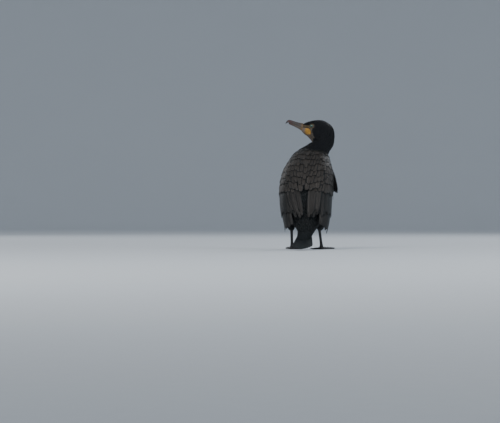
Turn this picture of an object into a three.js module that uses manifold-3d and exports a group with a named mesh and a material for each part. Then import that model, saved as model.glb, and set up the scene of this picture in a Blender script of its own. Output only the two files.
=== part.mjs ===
// A great cormorant standing upright with its back to the viewer and its head turned to the left.
// Millimetres, +Z up, +Y the way the breast faces, +X the bird's right. The soles stand at z = 0.
import * as THREE from "three";
import { mergeVertices } from "three/addons/utils/BufferGeometryUtils.js";
import Module from "manifold-3d";

const wasm = await Module();
wasm.setup();

// Driving dimensions
const GAP = 0.3; // between touching pieces
const SLIVER = 0.06; // faces that a cut or union leaves thinner than this are closed up
const VIEW_TURN = 9; // degrees that the body is turned from square to the viewer
const BILL_RISE = 13; // degrees that the bill points above level
const HEAD_AT = { across: 25.2, up: 432, deep: 72 }; // a point just behind the eyes
const EYE = { ahead: 8, aside: 17.5, up: 9, radius: 5.6 };
const ANKLE = { x: 50, y: -26, z: 66 };
const HEEL = { x: 53, y: 6, z: 12 }; // where the shank meets the toes
const TAIL = { length: 158, spread: 78, steep: 48, flat: 4, pairs: 7 };

// The trunk from the tail root to the neck root: the middle of each section, its half width, its depth
// to the back and to the breast, and how far the folded wing stands off it at the side and on the back.
const TRUNK = [
  { t: -0.1, x: 10, y: -108, z: 50, wide: 24, back: 14, front: 13, side: 50, over: 22 },
  { t: 0.0, x: 11, y: -92, z: 76, wide: 36, back: 24, front: 24, side: 43, over: 20 },
  { t: 0.12, x: 8, y: -70, z: 110, wide: 60, back: 40, front: 42, side: 27, over: 17 },
  { t: 0.3, x: 2, y: -38, z: 160, wide: 79, back: 55, front: 62, side: 15, over: 14 },
  { t: 0.5, x: 0, y: -4, z: 214, wide: 85, back: 63, front: 72, side: 11, over: 12 },
  { t: 0.7, x: 2, y: 28, z: 268, wide: 80, back: 61, front: 70, side: 10, over: 10 },
  { t: 0.85, x: 5, y: 50, z: 308, wide: 67, back: 51, front: 60, side: 8, over: 6 },
  { t: 1.0, x: 9, y: 68, z: 341, wide: 54, back: 40, front: 45, side: 4, over: 2 },
  { t: 1.06, x: 11, y: 75, z: 355, wide: 40, back: 29, front: 31, side: 2, over: 1 },
];

// The neck from inside the crown down into the shoulders, in level sections: height, middle across the
// view and into it, half width across the view and through it.
const NECK = [
  { t: 0, up: 452, across: 52, deep: 72, half: 30, wide: 18 },
  { t: 0.06, up: 445, across: 55, deep: 72, half: 35.5, wide: 23 },
  { t: 0.13, up: 436, across: 59, deep: 72, half: 38.5, wide: 26.5 },
  { t: 0.22, up: 424, across: 62, deep: 72, half: 39.5, wide: 28.5 },
  { t: 0.37, up: 404, across: 65, deep: 71.5, half: 38.5, wide: 30 },
  { t: 0.46, up: 392, across: 65, deep: 71, half: 36.5, wide: 31.5 },
  { t: 0.54, up: 382, across: 58, deep: 70, half: 43, wide: 34 },
  { t: 0.62, up: 371, across: 49, deep: 68.5, half: 48.5, wide: 37.5 },
  { t: 0.7, up: 360, across: 35, deep: 67, half: 55, wide: 40.5 },
  { t: 0.78, up: 349, across: 24, deep: 64, half: 59, wide: 43 },
  { t: 0.87, up: 338, across: 17, deep: 61, half: 61, wide: 45 },
  { t: 1, up: 320, across: 12, deep: 57, half: 53, wide: 42 },
];

// The head along the line of the bill, from the bill's root back: its top, its underside and its half width.
const HEAD = [
  { t: -38, top: 11.5, under: -16, wide: 10.5 },
  { t: -28, top: 18.5, under: -23, wide: 14 },
  { t: -14, top: 26.5, under: -29, wide: 18.5 },
  { t: 0, top: 32.5, under: -38, wide: 23 },
  { t: 15, top: 37, under: -49, wide: 26.5 },
  { t: 34, top: 37, under: -44, wide: 27.5 },
  { t: 50, top: 31, under: -30, wide: 23 },
  { t: 62, top: 20, under: -14, wide: 13 },
];

// The bill along the same line, forward from its root: culmen, mouth line, underside and half width.
const BILL = [
  { t: 37, top: 12.2, mouth: -5.5, under: -16, wide: 10 },
  { t: 50, top: 11.8, mouth: -2.4, under: -11, wide: 7.6 },
  { t: 65, top: 12, mouth: 0.6, under: -6.8, wide: 5.9 },
  { t: 80, top: 13.2, mouth: 2.6, under: -3.8, wide: 4.9 },
  { t: 89, top: 13.4, mouth: 3.2, under: -2.4, wide: 4.2 },
];
// The hook past the lower jaw's tip: how far forward, and its top and underside.
const HOOK = [
  { t: 94, top: 11.6, mouth: 2.2, wide: 3.6 },
  { t: 98.2, top: 7.4, mouth: -1.8, wide: 2.7 },
  { t: 100.4, top: 1.2, mouth: -5.2, wide: 1.3 },
];

const rad = (degrees) => (degrees * Math.PI) / 180;
const mix = (a, b, q) => a + (b - a) * q;
const vec = (x, y, z) => new THREE.Vector3(x, y, z);
const acrossView = vec(Math.cos(rad(VIEW_TURN)), Math.sin(rad(VIEW_TURN)), 0);
const intoView = vec(-Math.sin(rad(VIEW_TURN)), Math.cos(rad(VIEW_TURN)), 0);
const upward = vec(0, 0, 1);

// A smooth reading of every column of a table of stations at t.
function reading(table, t) {
  let i = 0;
  while (i < table.length - 2 && t > table[i + 1].t) i += 1;
  const [a, b] = [table[i], table[i + 1]];
  const before = table[i - 1] ?? a;
  const after = table[i + 2] ?? b;
  const span = b.t - a.t;
  const q = (t - a.t) / span;
  const found = {};
  for (const key of Object.keys(a)) {
    const leave = a === before ? b[key] - a[key] : ((b[key] - before[key]) / (b.t - before.t)) * span;
    const arrive = after === b ? b[key] - a[key] : ((after[key] - a[key]) / (after.t - a.t)) * span;
    const [q2, q3] = [q * q, q * q * q];
    found[key] =
      (2 * q3 - 3 * q2 + 1) * a[key] + (q3 - 2 * q2 + q) * leave +
      (3 * q2 - 2 * q3) * b[key] + (q3 - q2) * arrive;
  }
  return found;
}

// A closed body through rings of equal count, each end drawn together to its middle.
function loft(rings) {
  const count = rings[0].length;
  const points = rings.flat();
  const faces = [];
  for (let r = 0; r < rings.length - 1; r += 1) {
    for (let k = 0; k < count; k += 1) {
      const [a, b] = [r * count + k, r * count + ((k + 1) % count)];
      faces.push(a, b, b + count, a, b + count, a + count);
    }
  }
  for (const [ring, turned] of [[0, true], [rings.length - 1, false]]) {
    const middle = rings[ring].reduce((sum, p) => sum.add(p), vec(0, 0, 0)).divideScalar(count);
    points.push(middle);
    for (let k = 0; k < count; k += 1) {
      const [a, b] = [ring * count + k, ring * count + ((k + 1) % count)];
      faces.push(...(turned ? [points.length - 1, b, a] : [points.length - 1, a, b]));
    }
  }
  return solid(points, faces);
}

// A manifold-3d solid from points and faces, turned to face out.
function solid(points, faces) {
  const geometry = new THREE.BufferGeometry();
  geometry.setAttribute("position", new THREE.Float32BufferAttribute(points.flatMap((p) => [p.x, p.y, p.z]), 3));
  geometry.setIndex(faces);
  return bodyOf(geometry);
}

function bodyOf(geometry) {
  const bare = geometry.clone();
  bare.deleteAttribute("normal");
  bare.deleteAttribute("uv");
  const merged = mergeVertices(bare, 1e-3);
  const make = (triVerts) =>
    new wasm.Manifold(new wasm.Mesh({ numProp: 3, vertProperties: merged.attributes.position.array, triVerts }));
  const triVerts = new Uint32Array(merged.index.array);
  const made = make(triVerts);
  return made.volume() > 0 ? made : make(triVerts.map((_, i) => merged.index.array[i - (i % 3) + 2 - (i % 3)]));
}

// The largest closed surface of a solid, so that a hollow sealed by a union is filled and a loose scrap goes.
function largest(body) {
  return body.simplify(SLIVER).decompose().reduce((a, b) => (b.volume() > a.volume() ? b : a));
}

const joined = (bodies) => bodies.reduce((a, b) => a.add(b));

// One oval section: middle, its two directions, and its reach each way along them.
function oval(middle, side, up, wide, above, below, count, fullness = 2.2) {
  const ring = [];
  for (let k = 0; k < count; k += 1) {
    const [s, c] = [Math.sin((2 * Math.PI * k) / count), Math.cos((2 * Math.PI * k) / count)];
    const round = (v) => Math.sign(v) * Math.abs(v) ** (2 / fullness);
    ring.push(
      middle.clone().addScaledVector(side, wide * round(s)).addScaledVector(up, (c > 0 ? above : below) * round(c)),
    );
  }
  return ring;
}

// The trunk's section at t: its middle, the way to the back, and its sizes with the wing's cloak added by share.
function trunkSection(t, cloak) {
  const here = reading(TRUNK, t);
  const step = 0.01;
  const [low, high] = [reading(TRUNK, t - step), reading(TRUNK, t + step)];
  const along = vec(0, high.y - low.y, high.z - low.z).normalize();
  return {
    middle: vec(here.x, here.y, here.z),
    back: vec(1, 0, 0).cross(along),
    wide: here.wide + cloak * here.side,
    above: here.back + cloak * here.over,
    below: here.front + cloak * here.side * 0.5,
  };
}

// A point on the trunk at t and at an angle from the middle of the back, or on the wing's cloak over it,
// which thins towards the middle of the back.
function trunkPoint(t, degrees, cloak) {
  const share = mix(0.25, 1, Math.min(1, Math.max(0, (Math.abs(degrees) - 12) / 33)));
  const { middle, back, wide, above, below } = trunkSection(t, cloak * share);
  const [s, c] = [Math.sin(rad(degrees)), Math.cos(rad(degrees))];
  const round = (v) => Math.sign(v) * Math.abs(v) ** (2 / 2.2);
  return middle.addScaledVector(vec(1, 0, 0), wide * round(s)).addScaledVector(back, (c > 0 ? above : below) * round(c));
}

// The same point raised off the surface by height.
function raised(t, degrees, cloak, height) {
  const at = trunkPoint(t, degrees, cloak);
  const along = trunkPoint(t + 0.01, degrees, cloak).sub(at);
  const round = trunkPoint(t, degrees + 1, cloak).sub(at);
  return at.addScaledVector(along.cross(round).normalize(), -height);
}

function trunkBody(grow) {
  const rings = [];
  const stations = 20;
  for (let k = 0; k <= stations; k += 1) {
    const t = mix(TRUNK[0].t, TRUNK.at(-1).t, k / stations);
    const { middle, back, wide, above, below } = trunkSection(t, 0);
    rings.push(oval(middle, vec(1, 0, 0), back, wide + grow, above + grow, below + grow, 24));
  }
  return loft(rings);
}

const inView = (across, up, deep) =>
  vec(0, 0, up).addScaledVector(acrossView, across).addScaledVector(intoView, deep);

function neckBody(grow) {
  const rings = [];
  const stations = 14;
  for (let k = 0; k <= stations; k += 1) {
    const here = reading(NECK, k / stations);
    const at = inView(here.across, here.up, here.deep);
    rings.push(oval(at, acrossView, intoView, here.half + grow, here.wide + grow, here.wide + grow, 20, 2));
  }
  return loft(rings);
}

// The head's own directions: along the bill, to the head's left side, and up through the crown.
const headMiddle = inView(HEAD_AT.across, HEAD_AT.up, HEAD_AT.deep);
const ahead = vec(0, 0, Math.sin(rad(BILL_RISE))).addScaledVector(acrossView, -Math.cos(rad(BILL_RISE)));
const aside = intoView.clone();
const crown = vec(0, 0, Math.cos(rad(BILL_RISE))).addScaledVector(acrossView, Math.sin(rad(BILL_RISE)));
const onHead = (a, s, u) =>
  headMiddle.clone().addScaledVector(ahead, a).addScaledVector(aside, s).addScaledVector(crown, u);

function headBody(grow) {
  const rings = [];
  const stations = 13;
  for (let k = 0; k <= stations; k += 1) {
    const t = mix(HEAD[0].t, HEAD.at(-1).t, k / stations);
    const here = reading(HEAD, t);
    const half = (here.top - here.under) / 2 + grow;
    rings.push(oval(onHead(-t, 0, (here.top + here.under) / 2), aside, crown, here.wide + grow, half, half, 20, 2.1));
  }
  return loft(rings);
}

// A wedge of space between two heights of the head's side view, through the whole head.
function headWedge(corners) {
  const reach = 60;
  const outline = new THREE.Shape(corners.map(([a, u]) => new THREE.Vector2(a, u)));
  const geometry = new THREE.ExtrudeGeometry(outline, { depth: 2 * reach, bevelEnabled: false });
  const place = geometry.attributes.position;
  for (let i = 0; i < place.count; i += 1) {
    const p = onHead(place.getX(i), place.getZ(i) - reach, place.getY(i));
    place.setXYZ(i, p.x, p.y, p.z);
  }
  return bodyOf(geometry);
}

// The bill's upper and lower halves, each a run of sections with a flat side on the mouth line.
function billHalf(table, upper) {
  const rings = [];
  const stations = upper ? 14 : 9;
  for (let k = 0; k <= stations; k += 1) {
    const t = mix(table[0].t, table.at(-1).t, k / stations);
    const here = reading(table, t);
    const flat = here.mouth + (upper ? GAP : -GAP) / 2;
    const far = upper ? here.top : here.under;
    const ring = [];
    const sides = 12;
    for (let j = 0; j < sides; j += 1) {
      const turn = (Math.PI * j) / (sides - 1);
      const height = Math.sin(turn) ** 0.8;
      ring.push(onHead(t, here.wide * Math.cos(turn) * (1 - 0.12 * height), mix(flat, far, height)));
    }
    rings.push(upper ? ring : ring.reverse());
  }
  return loft(rings);
}

// A smooth limb through points, each with its own half sizes across and fore and aft.
function limb(stops, sides) {
  const rings = stops.map(([x, y, z, wide, deep], k) => {
    const before = stops[Math.max(0, k - 1)];
    const after = stops[Math.min(stops.length - 1, k + 1)];
    const along = vec(after[0] - before[0], after[1] - before[1], after[2] - before[2]).normalize();
    const across = vec(1, 0, 0).addScaledVector(along, -along.x).normalize();
    return oval(vec(x, y, z), across, across.clone().cross(along), wide, deep, deep, sides, 2);
  });
  return loft(rings);
}

const skinTrunk = trunkBody(0);
const skinNeck = neckBody(0);
const skinHead = headBody(0);

// Where the whole skin is parted: the tail root, the neck root and the back of the head.
const tailCut = trunkSection(0.0, 0);
const tailNormal = vec(0, 0.545, 0.838);
const tailOffset = tailNormal.dot(tailCut.middle);
const neckCut = { normal: inView(0.28, 0.96, 0).normalize(), at: inView(30, 356, 66) };
const headCut = { normal: inView(-0.21, 0.98, 0).normalize(), at: inView(27, 386.5, 72) };
const cutOffset = (cut) => cut.normal.dot(cut.at);
const side = (v, sign = 1) => [v.x * sign, v.y * sign, v.z * sign];
const above = (body, normal, offset) => body.trimByPlane(side(normal), offset + GAP / 2);
const below = (body, normal, offset) => body.trimByPlane(side(normal, -1), -offset + GAP / 2);

const whole = joined([skinTrunk, skinNeck, skinHead]);
const grownTrunk = joined([trunkBody(GAP), neckBody(GAP)]);

const parts = new Map();
const torso = largest(above(below(whole, neckCut.normal, cutOffset(neckCut)), tailNormal, tailOffset));
parts.set("torso", torso);
const aboveNeckCut = above(whole, neckCut.normal, cutOffset(neckCut));
const neck = largest(below(aboveNeckCut, headCut.normal, cutOffset(headCut)));
parts.set("neck", neck);

// The head, its bare throat pouch parted from it by a line from the bill's root, below the eye and down the cheek.
const pouchEdge = [[-13, -48], [2, -24], [7, -9], [14, -2.5], [26, -3], [41, -5.5]];
const pouchSpace = headWedge([[41, -62], [-13, -62], ...pouchEdge]);
const parted = pouchEdge.map(([a, u]) => [a > 20 ? a : a - GAP, u + GAP]);
const pouchHole = headWedge([[42, -63], [-13 - GAP, -63], ...parted, [42, -5.5 + GAP]]);
const billFront = headWedge([[60, 60], [37 - GAP, 60], [37 - GAP, -60], [60, -60]]);
const headWhole = largest(above(aboveNeckCut, headCut.normal, cutOffset(headCut))).subtract(billFront);
const eyes = [-1, 1].map((s) => {
  const ball = new THREE.SphereGeometry(EYE.radius, 12, 9);
  const place = onHead(EYE.ahead, s * EYE.aside, EYE.up);
  return { ball: bodyOf(ball.clone().translate(place.x, place.y, place.z)), place, s };
});
const lids = eyes.map(({ s }) => {
  const ring = new THREE.TorusGeometry(EYE.radius + 0.6, 1.3, 5, 14);
  const place = onHead(EYE.ahead, s * (EYE.aside + 2.6), EYE.up);
  const turn = new THREE.Matrix4().makeBasis(ahead, crown, aside.clone().multiplyScalar(1)).setPosition(place);
  return bodyOf(ring.applyMatrix4(turn));
});
const sockets = eyes.map(({ place }) =>
  bodyOf(new THREE.SphereGeometry(EYE.radius + GAP, 12, 9).translate(place.x, place.y, place.z)),
);
let head = joined([headWhole.subtract(pouchHole), ...lids]);
for (const socket of sockets) head = head.subtract(socket);
parts.set("head", largest(head));
parts.set("throat_pouch", largest(headWhole.intersect(pouchSpace)));
eyes.forEach(({ ball, s }) => parts.set(s < 0 ? "eye_left" : "eye_right", ball));
parts.set("bill_upper", billHalf([...BILL, ...HOOK], true));
parts.set("bill_lower", billHalf(BILL, false));

// A closed slab between two sheets of points laid out alike, row by row.
function slab(top, bottom, columns) {
  const width = columns + 1;
  const rows = top.length / width - 1;
  const under = top.length;
  const faces = [];
  const quad = (a, b, c, d) => faces.push(a, b, c, a, c, d);
  for (let r = 0; r < rows; r += 1) {
    for (let c = 0; c < columns; c += 1) {
      const a = r * width + c;
      quad(a, a + 1, a + width + 1, a + width);
      quad(under + a, under + a + width, under + a + width + 1, under + a + 1);
    }
    const [a, b] = [r * width, r * width + columns];
    quad(a, a + width, under + a + width, under + a);
    quad(b, under + b, under + b + width, b + width);
  }
  for (let c = 0; c < columns; c += 1) {
    const b = rows * width + c;
    quad(c, under + c, under + c + 1, c + 1);
    quad(b, b + 1, under + b + 1, under + b);
  }
  return solid([...top, ...bottom], faces);
}

// One feather's vane. Each row: how far along, its share of the width, its share of the thickness.
const SHORT_VANE = [[0, 0.6, 1], [0.5, 1, 1], [0.85, 0.84, 0.8], [1, 0.32, 0.6]];
const LONG_VANE = [[0, 0.6, 1], [0.36, 1, 1], [0.68, 0.96, 0.9], [0.92, 0.66, 0.75], [1, 0.22, 0.6]];
function vane(rows, place) {
  const [top, bottom] = [[], []];
  for (const [along, wide, thick] of rows) {
    for (const c of [-1, 1]) {
      top.push(place(along, c, wide, 0));
      bottom.push(place(along, c, wide, thick));
    }
  }
  return slab(top, bottom, 1);
}

// An even scatter of small values between -1 and 1, the same at every build.
const scatter = (seed) => {
  const far = Math.sin(seed * 12.9898 + 4.1) * 43758.5453;
  return 2 * (far - Math.floor(far)) - 1;
};

// The folded wing's core, from the shoulder to half way down the wing.
const WING = { top: 0.94, core: 0.45, inner: 20, outer: 104, skin: 1.6 };
function wingCore(s) {
  const [rows, columns] = [5, 6];
  const sheet = (cloak, height) => {
    const found = [];
    for (let r = 0; r <= rows; r += 1) {
      for (let c = 0; c <= columns; c += 1) {
        found.push(raised(mix(WING.core, WING.top, r / rows), s * mix(WING.inner, WING.outer, c / columns), cloak, height));
      }
    }
    return found;
  };
  return slab(sheet(1, -WING.skin), sheet(0, -4), columns);
}

// A vane that lies on the wing, from one place to another, each a share of the trunk and degrees from mid-back.
function wingVane(s, { from, to, half, sink, lift, tilt = 1, thick = 0.9, rows = SHORT_VANE }) {
  return vane(rows, (along, c, wide, depth) => {
    const t = mix(from[0], to[0], along);
    const degrees = mix(from[1], to[1], along);
    const arc = trunkPoint(t, degrees + 1, 1).distanceTo(trunkPoint(t, degrees, 1));
    const height = mix(-sink, lift, along ** 0.8) + tilt * c - thick * depth;
    return raised(t, s * (degrees + (c * half * wide) / arc), 1, height);
  });
}

// Tiers of vanes from the wing's foremost coverts to its tip: how many, where the roots and the tips lie at
// the inner and at the outer end, half a vane's width, how deep it roots and how far its tip stands off.
const TIERS = [
  { count: 4, roots: [[0.9, 40], [0.92, 88]], tips: [[0.71, 40], [0.74, 94]], half: 15.5, sink: 3, lift: 1.8 },
  { count: 5, roots: [[0.78, 38], [0.8, 92]], tips: [[0.53, 38], [0.57, 99]], half: 15, sink: 3.6, lift: 1.6 },
  { count: 6, roots: [[0.64, 32], [0.68, 96]], tips: [[0.35, 30], [0.4, 102]], half: 13.5, sink: 4.4, lift: 1.4 },
  { count: 7, roots: [[0.52, 22], [0.54, 95]], tips: [[0.07, 16], [0.14, 98]], half: 12.5, sink: 5.4, lift: 0.6, rows: LONG_VANE },
  { count: 5, roots: [[0.48, 46], [0.5, 96]], tips: [[-0.03, 42], [-0.04, 92]], half: 12.5, sink: 7, lift: -3, rows: LONG_VANE },
];
// Shoulder feathers over the wing's inner edge, and the longest innermost flight feathers.
const SHOULDER = [
  { count: 2, roots: [[0.92, 26], [0.92, 42]], tips: [[0.73, 25], [0.74, 41]], half: 13.5, sink: 2.4, lift: 4.4 },
  { count: 2, roots: [[0.78, 24], [0.8, 42]], tips: [[0.55, 21], [0.57, 39]], half: 15, sink: 2.6, lift: 4.4 },
  { count: 2, roots: [[0.62, 22], [0.64, 36]], tips: [[0.36, 17], [0.38, 32]], half: 13.5, sink: 2.8, lift: 4.2 },
  { count: 3, roots: [[0.5, 20], [0.52, 36]], tips: [[0.06, 10], [0.12, 28]], half: 10.5, sink: 3.2, lift: 2.8, rows: LONG_VANE },
];
// The feathers of the wrist: lying flat on the left wing, standing proud of the right one.
const WRIST = { count: 2, roots: [[0.78, 93], [0.78, 101]], tips: [[0.52, 94], [0.5, 103]], half: 11, sink: 3.6 };

function tierVanes(s, tier, seed) {
  const made = [];
  for (let i = 0; i < tier.count; i += 1) {
    const q = i / (tier.count - 1);
    const end = ([a, b], shake) => [mix(a[0], b[0], q) + shake * scatter(seed + i), mix(a[1], b[1], q)];
    made.push(wingVane(s, { ...tier, from: end(tier.roots, 0), to: end(tier.tips, 0.008) }));
  }
  return made;
}

function wing(s) {
  const proud = s > 0 ? 15 : 2;
  const tiers = [...TIERS, ...SHOULDER, { ...WRIST, lift: proud }];
  return joined([wingCore(s), ...tiers.flatMap((tier, k) => tierVanes(s, tier, 10 * k + (s > 0 ? 100 : 0)))]);
}

const thighStops = (s) => [
  [s * 40, 10, 172, 22, 26],
  [s * 50, 4, 140, 28, 32],
  [s * 54, -8, 108, 24, 28],
  [s * 52, -20, 84, 16, 18],
  [s * 50, -26, 70, 9, 10],
];
const thighBody = (s, grow) => limb(thighStops(s).map(([x, y, z, w, d]) => [x, y, z, w + grow, d + grow]), 14);

for (const [name, s] of [["left", -1], ["right", 1]]) {
  parts.set("wing_" + name, largest(wing(s).subtract(grownTrunk).subtract(thighBody(s, GAP))));
  parts.set("thigh_" + name, largest(thighBody(s, 0).subtract(grownTrunk)));
}

// Shanks stand from the ankle down and forward to the toes.
for (const [name, s] of [["left", -1], ["right", 1]]) {
  const rings = 9;
  const stops = [];
  for (let k = 0; k <= rings; k += 1) {
    const q = k / rings;
    const swell = 1 + 0.55 * (2 * q - 1) ** 4;
    stops.push([
      s * mix(ANKLE.x, HEEL.x, q), mix(ANKLE.y, HEEL.y, q), mix(ANKLE.z + 3, HEEL.z, q),
      4.6 * swell + (k % 2) * 0.4, 6 * swell + (k % 2) * 0.5,
    ]);
  }
  const shank = limb(stops, 10).subtract(thighBody(s, GAP));
  parts.set("shank_" + name, largest(shank));
}

// Webbed feet: four toes on one web. Each toe: its length, the way it points from straight ahead, outward positive.
const TOES = [
  { name: "hallux", length: 34, outward: -82, thick: 3.6 },
  { name: "inner", length: 60, outward: -30, thick: 4.2 },
  { name: "middle", length: 84, outward: -4, thick: 4.6 },
  { name: "outer", length: 98, outward: 20, thick: 4.8 },
];
const WEB_THICK = 1.6;
function foot(s) {
  const root = vec(s * HEEL.x, HEEL.y, 0);
  const ends = TOES.map(({ length, outward }) =>
    root.clone().add(vec(s * length * Math.sin(rad(outward)), length * Math.cos(rad(outward)), 0)),
  );
  const toes = TOES.map(({ thick, length }, i) => {
    const stops = [];
    const joints = Math.round(length / 12);
    for (let k = 0; k <= joints; k += 1) {
      const q = k / joints;
      const p = root.clone().lerp(ends[i], q);
      const fat = thick * mix(1.25, 0.75, q) * (k % 2 ? 0.88 : 1.06);
      stops.push([p.x, p.y, fat * 0.72, fat, fat]);
    }
    return limbFlat(stops);
  });
  const webs = [0, 1, 2].map((i) => webBetween(root, ends[i], ends[i + 1]));
  const knob = limb([
    [s * HEEL.x, HEEL.y - 1, 2, 8, 9], [s * HEEL.x, HEEL.y - 1, 7, 8, 9], [s * HEEL.x, HEEL.y - 1, HEEL.z - 1, 6.6, 8],
  ], 10);
  const made = joined([...toes, ...webs, knob]).trimByPlane([0, 0, 1], 0);
  return { made, root, ends };
}

// A toe: round above and flat below, with pads.
function limbFlat(stops) {
  const rings = stops.map(([x, y, z, wide, deep], k) => {
    const before = stops[Math.max(0, k - 1)];
    const after = stops[Math.min(stops.length - 1, k + 1)];
    const along = vec(after[0] - before[0], after[1] - before[1], 0).normalize();
    return oval(vec(x, y, z), along.clone().cross(upward), upward, wide, deep, deep, 6, 2);
  });
  return loft(rings);
}

// The web from one toe to the next, its free edge scooped, of even thickness.
function webBetween(root, one, other) {
  const [rows, columns] = [3, 4];
  const points = [];
  for (const lift of [WEB_THICK + 0.5, 0.5]) {
    for (let r = 0; r <= rows; r += 1) {
      for (let c = 0; c <= columns; c += 1) {
        const q = c / columns;
        const scoop = 1 - 0.16 * 4 * q * (1 - q);
        const edge = one.clone().lerp(other, q);
        const p = root.clone().lerp(edge, mix(0.06, 0.93 * scoop, r / rows));
        p.z = lift;
        points.push(p);
      }
    }
  }
  const half = points.length / 2;
  return slab(points.slice(0, half), points.slice(half), columns);
}

for (const [name, s] of [["left", -1], ["right", 1]]) {
  const { made, root, ends } = foot(s);
  parts.set("foot_" + name, largest(made.subtract(parts.get("shank_" + name))));
  const shank = parts.get("shank_" + name);
  parts.set("shank_" + name, largest(shank.trimByPlane([0, 0, 1], HEEL.z - 1 + GAP)));
  parts.set("foot_" + name, largest(made.trimByPlane([0, 0, -1], -(HEEL.z - 1))));
  TOES.forEach((toe, i) => {
    const along = ends[i].clone().sub(root).normalize();
    const start = ends[i].clone().addScaledVector(along, GAP);
    const wide = toe.thick * 0.5;
    const rings = [[0, 2.7, wide, 2.2], [4, 3.6, wide * 0.75, 1.7], [8, 2.9, wide * 0.45, 1.1], [11, 1.2, 0.5, 0.6]].map(
      ([d, z, w, h]) => oval(
        start.clone().addScaledVector(along, d).setZ(z), along.clone().cross(upward), upward, w, h, h, 7, 2,
      ),
    );
    parts.set("claw_" + toe.name + "_" + name, loft(rings).trimByPlane([0, 0, 1], 0));
  });
}

// The tail: its root of flesh, its stiff feathers laid on the floor behind, and the coverts over and under them.
const tailStart = vec(9, -96, 71);
function tailLine(length) {
  const steps = 24;
  const p = tailStart.clone();
  let pitch = rad(TAIL.steep);
  for (let k = 0; k < steps; k += 1) {
    pitch = rad(mix(TAIL.steep, TAIL.flat, Math.min(1, ((k + 0.5) / steps) * (length / TAIL.length))));
    p.add(vec(0, -Math.cos(pitch), -Math.sin(pitch)).multiplyScalar(length / steps));
  }
  return { p, up: vec(0, -Math.sin(pitch), Math.cos(pitch)) };
}

// A vane on the tail, from one distance to another, its middle line from one place across to another.
function tailVane({ from, to, across, half, height, outward, tilt, thick, rows = LONG_VANE }) {
  return vane(rows, (along, c, wide, depth) => {
    const { p, up } = tailLine(mix(from, to, along));
    p.x += mix(across[0], across[1], along) + c * half * wide;
    const high = mix(height[0], height[1], along) + tilt * c * outward - thick * depth;
    return p.addScaledVector(up, high);
  });
}

function tail() {
  const made = [largest(below(skinTrunk, tailNormal, tailOffset))];
  const count = 2 * TAIL.pairs;
  for (let i = 0; i < count; i += 1) {
    const u = (2 * i + 1 - count) / (count - 1);
    const outward = Math.sign(u);
    const reach = TAIL.length * (1 - 0.27 * Math.abs(u) ** 1.6) + scatter(i);
    const over = i === count / 2 ? 1.3 : 0;
    const across = [u * 15, u * (TAIL.spread / 2 - 6)];
    made.push(tailVane({ from: 4, to: reach, across, half: 6.4, height: [over, 2 + over], outward, tilt: 1.1, thick: 0.8 }));
  }
  for (const [high, low, to] of [[11, 4.5, 52], [-8, -2.5, 60]]) {
    for (let i = 0; i < 5; i += 1) {
      const u = (i - 2) / 2;
      const across = [u * 13, u * 22];
      const height = [high - 2 * u * u * Math.sign(high), low];
      const reach = to * (1 - 0.12 * u * u);
      made.push(tailVane({ from: -4, to: reach, across, half: 7, height, outward: Math.sign(u), tilt: 0.8, thick: 1, rows: SHORT_VANE }));
    }
  }
  return largest(joined(made).trimByPlane([0, 0, 1], 0));
}
parts.set("tail", tail());

const COLOURS = {
  torso: 0x1a1f22, neck: 0x14181c, head: 0x14181c, throat_pouch: 0xc08a2a, eye_left: 0x1f6f5c, eye_right: 0x1f6f5c,
  bill_upper: 0x6f6a60, bill_lower: 0x9a8f78, wing_left: 0x3a3632, wing_right: 0x3a3632, tail: 0x23282b,
};

const bird = new THREE.Group();
for (const [name, body] of parts) {
  const mesh = body.getMesh();
  const geometry = new THREE.BufferGeometry();
  const stride = mesh.numProp;
  const place = new Float32Array(mesh.numVert * 3);
  for (let i = 0; i < mesh.numVert; i += 1) place.set(mesh.vertProperties.subarray(i * stride, i * stride + 3), i * 3);
  geometry.setAttribute("position", new THREE.BufferAttribute(place, 3));
  geometry.setIndex(new THREE.BufferAttribute(mesh.triVerts, 1));
  const material = new THREE.MeshStandardMaterial({ color: COLOURS[name] ?? 0x1c1b1a, roughness: 0.6, metalness: 0 });
  const piece = new THREE.Mesh(geometry, material);
  piece.name = name;
  bird.add(piece);
}
const box = new THREE.Box3().setFromObject(bird);
bird.position.set(-(box.min.x + box.max.x) / 2, -(box.min.y + box.max.y) / 2, -box.min.z);

export default bird;
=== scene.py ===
"""A great cormorant in life size: one skin, feathers laid over it, bill, eyes, bare throat, legs and feet.

Sizes are millimetres in the bird's own axes until they are turned into the frame's metres:
+X the bird's right, +Y the way the breast faces, +Z up, soles at height 0.
"""

import math

import bpy
import numpy as np
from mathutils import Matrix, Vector
from mathutils.bvhtree import BVHTree


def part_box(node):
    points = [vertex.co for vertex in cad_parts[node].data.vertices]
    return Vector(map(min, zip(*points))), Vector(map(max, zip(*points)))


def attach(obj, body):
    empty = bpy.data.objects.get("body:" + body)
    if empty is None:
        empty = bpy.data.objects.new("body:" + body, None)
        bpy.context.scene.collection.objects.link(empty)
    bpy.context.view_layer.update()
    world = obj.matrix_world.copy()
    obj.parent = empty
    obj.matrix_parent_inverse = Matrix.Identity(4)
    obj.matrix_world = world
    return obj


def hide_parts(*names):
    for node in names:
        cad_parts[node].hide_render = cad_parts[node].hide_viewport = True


bl_info = {
    "name": "Cormorant Model",
    "version": (1, 0, 0),
    "blender": (4, 5, 0),
    "location": "View3D > Sidebar > Cormorant",
    "description": "Builds a cormorant's skin, plumage, bill, eyes, throat, legs and feet, and its stage",
    "category": "Object",
}

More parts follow.
